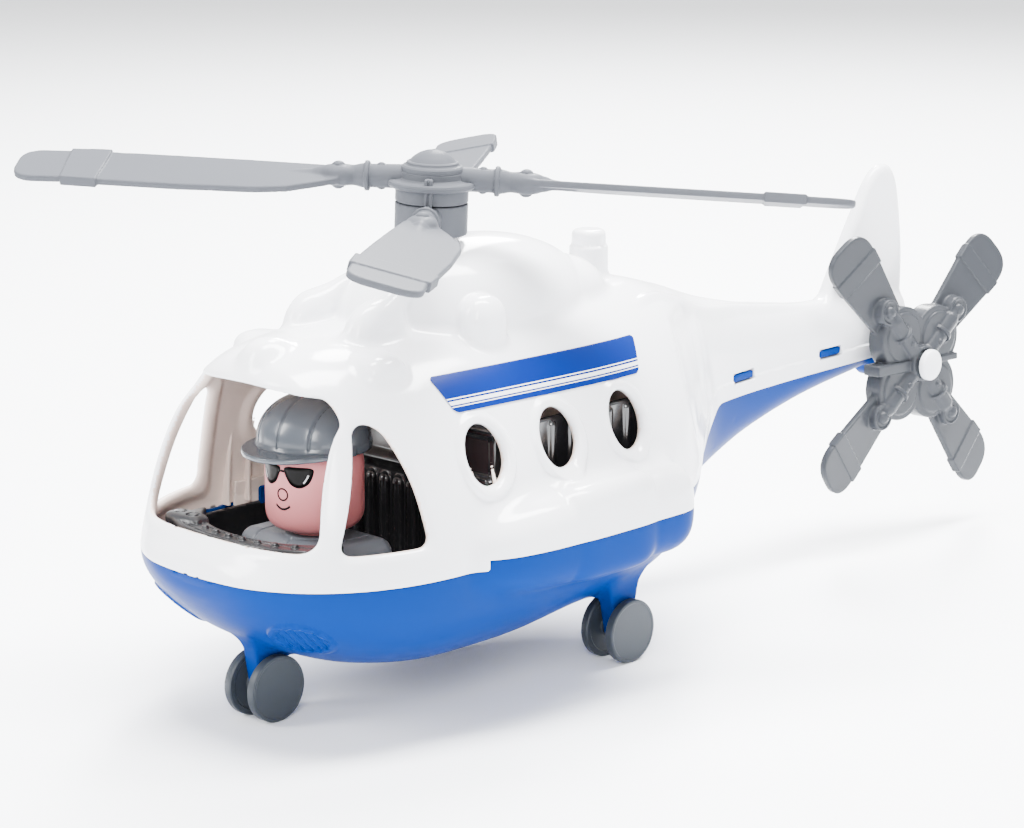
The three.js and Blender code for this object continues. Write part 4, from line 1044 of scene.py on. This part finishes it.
def build_wheels():
    pieces = []
    for label, gear in (("nose", gears()[0]), ("rear_port", gears()[1]), ("rear_starboard", gears()[2])):
        reach = WHEEL["span"] / 2 - 1.4
        bar = [(0, -reach), (AXLE_RADIUS - 0.3, -reach), (AXLE_RADIUS, 0.3 - reach), (AXLE_RADIUS, reach - 0.3),
               (AXLE_RADIUS - 0.3, reach), (0, reach)]
        centre = (gear["x"], gear["y"], WHEEL["radius"])
        axle = turned(f"{label}_axle_bar", bar, 24, centre, (0, 1, 0))
        pieces.append((axle, f"{label}_axle", label))
        for side, word in ((1, "port"), (-1, "starboard")):
            outer = WHEEL["span"] / 2
            inner = outer - WHEEL["thickness"]
            r = WHEEL["radius"]
            hole = AXLE_RADIUS + 0.15
            profile = [(0, outer - 1.1), (hole, outer - 1.1), (hole, inner), (3.4, inner), (3.8, inner + 0.35),
                       (r - 2.2, inner + 0.35), (r - 1.8, inner), (r - 0.35, inner), (r, inner + 0.35),
                       (r, outer - 0.6), (r - 0.18, outer - 0.18), (r - 0.6, outer), (r - 1.1, outer),
                       (r - 1.3, outer - 0.12), (0, outer - 0.12)]
            made = turned(f"{label}_{word}_disc", profile, 96, centre, (0, side, 0))
            pieces.append((made, f"{label}_{word}_wheel", label))
    return pieces


# ---- Decals ----


def build_decal(word, side):
    (front_top, front_low), (rear_top, rear_low) = DECAL["front"], DECAL["rear"]
    marks = sorted({0.0, 0.04, 0.09, 0.14, 0.97, 1.0} | {m for pair in DECAL_STRIPES for m in pair}
                   | set(np.round(np.linspace(0.2, 0.55, 5), 3)) | {0.9})
    columns = 90
    flat, rows = [], len(marks)
    for mark in marks:
        front = np.array(front_top) * (1 - mark) + np.array(front_low) * mark
        rear = np.array(rear_top) * (1 - mark) + np.array(rear_low) * mark
        inset = DECAL["corner"] * max(0, 1 - min(mark, 1 - mark) / 0.1) ** 2
        front, rear = front - (inset, 0), rear + (inset, 0)
        share = np.linspace(0, 1, columns)[:, None]
        flat.append(front * (1 - share) + rear * share)
    flat = np.concatenate(flat)

    def at_depth(lift):
        y = np.full(len(flat), 50.0)
        for _ in range(12):
            value = upper_outside(flat[:, 0], y, flat[:, 1]) - lift
            slope = (upper_outside(flat[:, 0], y + 0.05, flat[:, 1]) - value - lift) / 0.05
            y = y - np.clip(value / np.maximum(slope, 0.2), -4, 4)
        return np.stack([flat[:, 0], side * y, flat[:, 1]], -1)

    outer, inner = at_depth(0.1 + DECAL["skin"]), at_depth(0.1)
    total = rows * columns
    quads, white = [], []
    for row in range(rows - 1):
        middle = (marks[row] + marks[row + 1]) / 2
        striped = any(low < middle < high for low, high in DECAL_STRIPES)
        for k in range(columns - 1):
            a = row * columns + k
            quads.append([a, a + 1, a + columns + 1, a + columns])
            quads.append([total + a + columns, total + a + columns + 1, total + a + 1, total + a])
            white += [striped, striped]
    for k in range(columns - 1):
        for a in (k, (rows - 1) * columns + k):
            edge = [a, a + 1, total + a + 1, total + a]
            quads.append(edge[::-1] if a < columns else edge)
            white.append(False)
    for row in range(rows - 1):
        for a in (row * columns, row * columns + columns - 1):
            edge = [a, a + columns, total + a + columns, total + a]
            quads.append(edge if a % columns == 0 else edge[::-1])
            white.append(False)
    made = place(f"decal_{word}_print", np.concatenate([outer, inner]), [np.array(quads)])
    made.data.set_sharp_from_angle(angle=math.radians(40))
    made.data.materials.append(MATERIALS["decal_blue"])
    made.data.materials.append(MATERIALS["decal_white"])
    made.data.polygons.foreach_set("material_index", np.array(white, np.int32))
    return made


# ---- Materials ----


def plastic(name, colour, roughness, grain=0.004, metallic=0.0, shade=0.03, bump=0.03, scatter=0.0, gloss=0.5):
    """Moulded plastic: a slightly uneven colour and gloss, and a fine surface ripple."""
    material = bpy.data.materials.new(name)
    material.use_nodes = True
    tree = material.node_tree
    nodes, links = tree.nodes, tree.links
    shader = nodes["Principled BSDF"]
    shader.inputs["Metallic"].default_value = metallic
    shader.inputs["IOR"].default_value = 1.49
    shader.inputs["Specular IOR Level"].default_value = gloss
    shader.inputs["Subsurface Weight"].default_value = scatter
    shader.inputs["Subsurface Scale"].default_value = 0.002
    place_at = nodes.new("ShaderNodeTexCoord")

    def noise(scale, detail):
        made = nodes.new("ShaderNodeTexNoise")
        made.inputs["Scale"].default_value = scale
        made.inputs["Detail"].default_value = detail
        links.new(place_at.outputs["Object"], made.inputs["Vector"])
        return made

    cloud, fine = noise(28, 3), noise(900, 2)
    ramp = nodes.new("ShaderNodeMapRange")
    ramp.inputs["To Min"].default_value = roughness - grain
    ramp.inputs["To Max"].default_value = roughness + grain * 2
    links.new(fine.outputs["Fac"], ramp.inputs["Value"])
    links.new(ramp.outputs["Result"], shader.inputs["Roughness"])
    mix = nodes.new("ShaderNodeMix")
    mix.data_type = "RGBA"
    mix.inputs[6].default_value = (*[c * (1 - shade) for c in colour], 1)
    mix.inputs[7].default_value = (*[min(1, c * (1 + shade)) for c in colour], 1)
    links.new(cloud.outputs["Fac"], mix.inputs[0])
    links.new(mix.outputs[2], shader.inputs["Base Color"])
    ripple = nodes.new("ShaderNodeBump")
    ripple.inputs["Strength"].default_value = bump
    ripple.inputs["Distance"].default_value = 0.00002
    links.new(noise(260, 1).outputs["Fac"], ripple.inputs["Height"])
    links.new(ripple.outputs["Normal"], shader.inputs["Normal"])
    return material


def linear(red, green, blue):
    """An sRGB colour in 0 to 255 as linear light."""
    values = [v / 255 for v in (red, green, blue)]
    return [v / 12.92 if v <= 0.04045 else ((v + 0.055) / 1.055) ** 2.4 for v in values]


MATERIALS = {
    "white": plastic("shell_white", linear(231, 232, 236), 0.14, shade=0.008, scatter=0.02),
    # The inner beige is painted shade, for the shell's inner face and the cockpit wall's fins and lining.
    "inner": plastic("shell_inner_painted_shade", linear(222, 204, 194), 0.4, shade=0.03),
    "blue": plastic("hull_blue", linear(0, 40, 106), 0.34, shade=0.02, gloss=0.02),
    "grey": plastic("rotor_grey", linear(76, 78, 83), 0.36, gloss=0.015),
    "tail_grey": plastic("tail_grey", linear(52, 54, 58), 0.26, gloss=0.12),
    "black": plastic("insert_black", linear(24, 24, 26), 0.16, gloss=0.8),
    "panel": plastic("panel_grey", linear(26, 27, 30), 0.3, gloss=0.5),
    "figure": plastic("figure_grey", linear(92, 96, 103), 0.34),
    "helmet": plastic("cap_grey", linear(64, 69, 76), 0.24),
    "pink": plastic("head_pink", linear(194, 118, 121), 0.38, scatter=0.05, gloss=0.3),
    "wheel": plastic("wheel_grey", linear(42, 47, 53), 0.4, gloss=0.25),
    "steel": plastic("axle_steel", linear(150, 152, 156), 0.28, metallic=1.0),
    "ink": plastic("print_black", linear(6, 5, 5), 0.3, gloss=0.1),
    "glint": plastic("print_white", linear(190, 190, 192), 0.35),
    "decal_blue": plastic("decal_blue", linear(5, 30, 100), 0.26, shade=0.02, gloss=0.06),
    "decal_white": plastic("decal_white", linear(225, 226, 230), 0.26, shade=0.01),
}

# ---- Putting the toy together ----


def paint_inside_shade(piece):
    """The shell's inner face gets a rougher, warm beige colour that is painted shade, standing in for the dim, warm
    light inside the cabin.
    """
    mesh = piece.data
    mesh.materials.append(MATERIALS["inner"])
    middles = np.empty(len(mesh.polygons) * 3, np.float32)
    mesh.polygons.foreach_get("center", middles)
    middles = (middles.reshape(-1, 3).astype(float) - (MAST.x, MAST.y, 0)) / MM
    # Faces well inside the outer skin get the beige painted shade.
    deep = np.maximum(upper_outside(*middles.T), fuselage(*middles.T) + 0.6) < -0.9
    mesh.polygons.foreach_set("material_index", deep.astype(np.int32))



def finished(piece, material, body, slot, *nodes):
    if material is not None:
        piece.data.materials.clear()
        piece.data.materials.append(MATERIALS[material])
    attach(piece, body)
    if nodes:
        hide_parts(*nodes)


shell, hull, snap_tabs = build_hull()
finished(shell, "white", "fuselage", "white_shell", "upper_shell")
paint_inside_shade(shell)
finished(hull, "blue", "fuselage", "blue_hull", "lower_hull")
for tint, label, piece in build_cockpit_wall():
    # The white fins and lining take the inner beige, which is painted shade.
    finished(piece, tint if tint == "blue" else "inner", "fuselage", label)
for tab_piece in snap_tabs:
    finished(tab_piece, "blue", "fuselage", "blue_hull")

finished(
    meshed("cabin_insert", tub, (-60, -60, 34), (106, 60, 94), 0.85),
    "black", "fuselage", "black_insert", "cabin_tub",
)
finished(
    meshed("dashboard_panel", dashboard, (62, -37, 38), (98, 37, 68), 0.45),
    "panel", "fuselage", "dark_grey_panel", "dashboard",
)
finished(
    meshed("pilot_body", torso, (38, -27, 39), (69, 27, 59), 0.5),
    "figure", "fuselage", "grey_figure", "pilot_torso",
)
finished(
    meshed("pilot_face", head, (35, -18, 54), (71, 18, 93), 0.6),
    "pink", "pilot_head_body", "pink_head", "pilot_head",
)
finished(
    meshed("pilot_helmet", cap, (32, -21, 82), (83, 21, 104), 0.45),
    "helmet", "pilot_head_body", "grey_figure", "pilot_cap",
)
for piece, ink in build_face():
    finished(piece, ink, "pilot_head_body", "pink_head")

bar_high, bar_low, hub_cap, axle_post = build_rotor()
finished(bar_high, "grey", "main_rotor", "grey_rotor", "rotor_upper_bar")
finished(hub_cap, "grey", "main_rotor", "grey_rotor")
finished(bar_low, "grey", "main_rotor", "grey_rotor", "rotor_lower_bar")
finished(axle_post, "white", "fuselage", "white_pin", "rotor_axle")
tail_blades, tail_cap = build_tail()
finished(tail_blades, "tail_grey", "tail_rotor_body", "grey_tail_rotor", "tail_rotor")
finished(tail_cap, "white", "fuselage", "white_pin", "tail_pin")

for piece, node, label in build_wheels():
    is_axle = node.endswith("_axle")
    finished(piece, "steel" if is_axle else "wheel", f"{label}_wheels",
             "steel_axle" if is_axle else "grey_wheel", node)

for word, side in (("port", 1), ("starboard", -1)):
    finished(build_decal(word, side), None, "fuselage", "blue_decal", f"decal_{word}")

# ---- Floor, light and camera ----

BACKDROP = dict(azimuth=224, fades=0.3, full=0.8, dim=1.2, bright=2.2)


def to_row(point):
    return Vector((point[0] * MM + MAST.x, point[1] * MM + MAST.y, point[2] * MM))


def build_floor():
    mesh = bpy.data.meshes.new("floor")
    half = 6.0
    mesh.from_pydata([(-half, -half, 0), (half, -half, 0), (half, half, 0), (-half, half, 0)], [], [(0, 1, 2, 3)])
    floor = bpy.data.objects.new("floor", mesh)
    bpy.context.scene.collection.objects.link(floor)
    mesh.materials.append(plastic("floor_paper", linear(247, 249, 252), 0.6, shade=0.005, bump=0.0))


def area_light(name, place_at, target, size, power, colour=(1, 1, 1)):
    data = bpy.data.lights.new(name, "AREA")
    data.shape = "RECTANGLE"
    data.size, data.size_y = size
    data.energy = power
    data.color = colour
    lamp = bpy.data.objects.new(name, data)
    bpy.context.scene.collection.objects.link(lamp)
    lamp.location = Vector(place_at)
    lamp.rotation_euler = (Vector(target) - Vector(place_at)).to_track_quat("-Z", "Y").to_euler()


def build_world():
    """A dim room with one bright side, like a lit studio backdrop."""
    world = bpy.data.worlds.new("studio")
    world.use_nodes = True
    nodes, links = world.node_tree.nodes, world.node_tree.links
    background = nodes["Background"]
    background.inputs["Color"].default_value = (1, 1, 1, 1)
    place_at = nodes.new("ShaderNodeTexCoord")
    dot = nodes.new("ShaderNodeVectorMath")
    dot.operation = "DOT_PRODUCT"
    backdrop = math.radians(BACKDROP["azimuth"])
    dot.inputs[1].default_value = (math.cos(backdrop), math.sin(backdrop), 0)
    links.new(place_at.outputs["Generated"], dot.inputs[0])
    ramp = nodes.new("ShaderNodeMapRange")
    ramp.interpolation_type = "SMOOTHSTEP"
    ramp.inputs["From Min"].default_value = BACKDROP["fades"]
    ramp.inputs["From Max"].default_value = BACKDROP["full"]
    ramp.inputs["To Min"].default_value = BACKDROP["dim"]
    ramp.inputs["To Max"].default_value = BACKDROP["bright"]
    links.new(dot.outputs["Value"], ramp.inputs["Value"])
    links.new(ramp.outputs["Result"], background.inputs["Strength"])
    bpy.context.scene.world = world


def build_camera():
    data = bpy.data.cameras.new("camera")
    data.lens = CAMERA["lens"]
    data.sensor_width = CAMERA["sensor"]
    camera = bpy.data.objects.new("camera", data)
    bpy.context.scene.collection.objects.link(camera)
    place_at, target = to_row(CAMERA["place"]), to_row(CAMERA["target"])
    camera.location = place_at
    camera.rotation_euler = (target - place_at).to_track_quat("-Z", "Y").to_euler()
    bpy.context.scene.camera = camera


build_floor()
build_world()
area_light("overhead", (-0.25, 0.1, 1.5), (0.0, 0, 0.08), (0.45, 1.6), 170)
area_light("rim", (-1.0, -0.8, 1.3), (0.0, 0, 0.08), (0.4, 1.2), 115)
area_light("front", (1.35, 1.15, 0.95), (0, 0, 0.08), (0.5, 0.9), 44)
area_light("nose", (1.3, -0.7, 0.9), (0.05, 0, 0.08), (0.4, 0.7), 30)
build_camera()
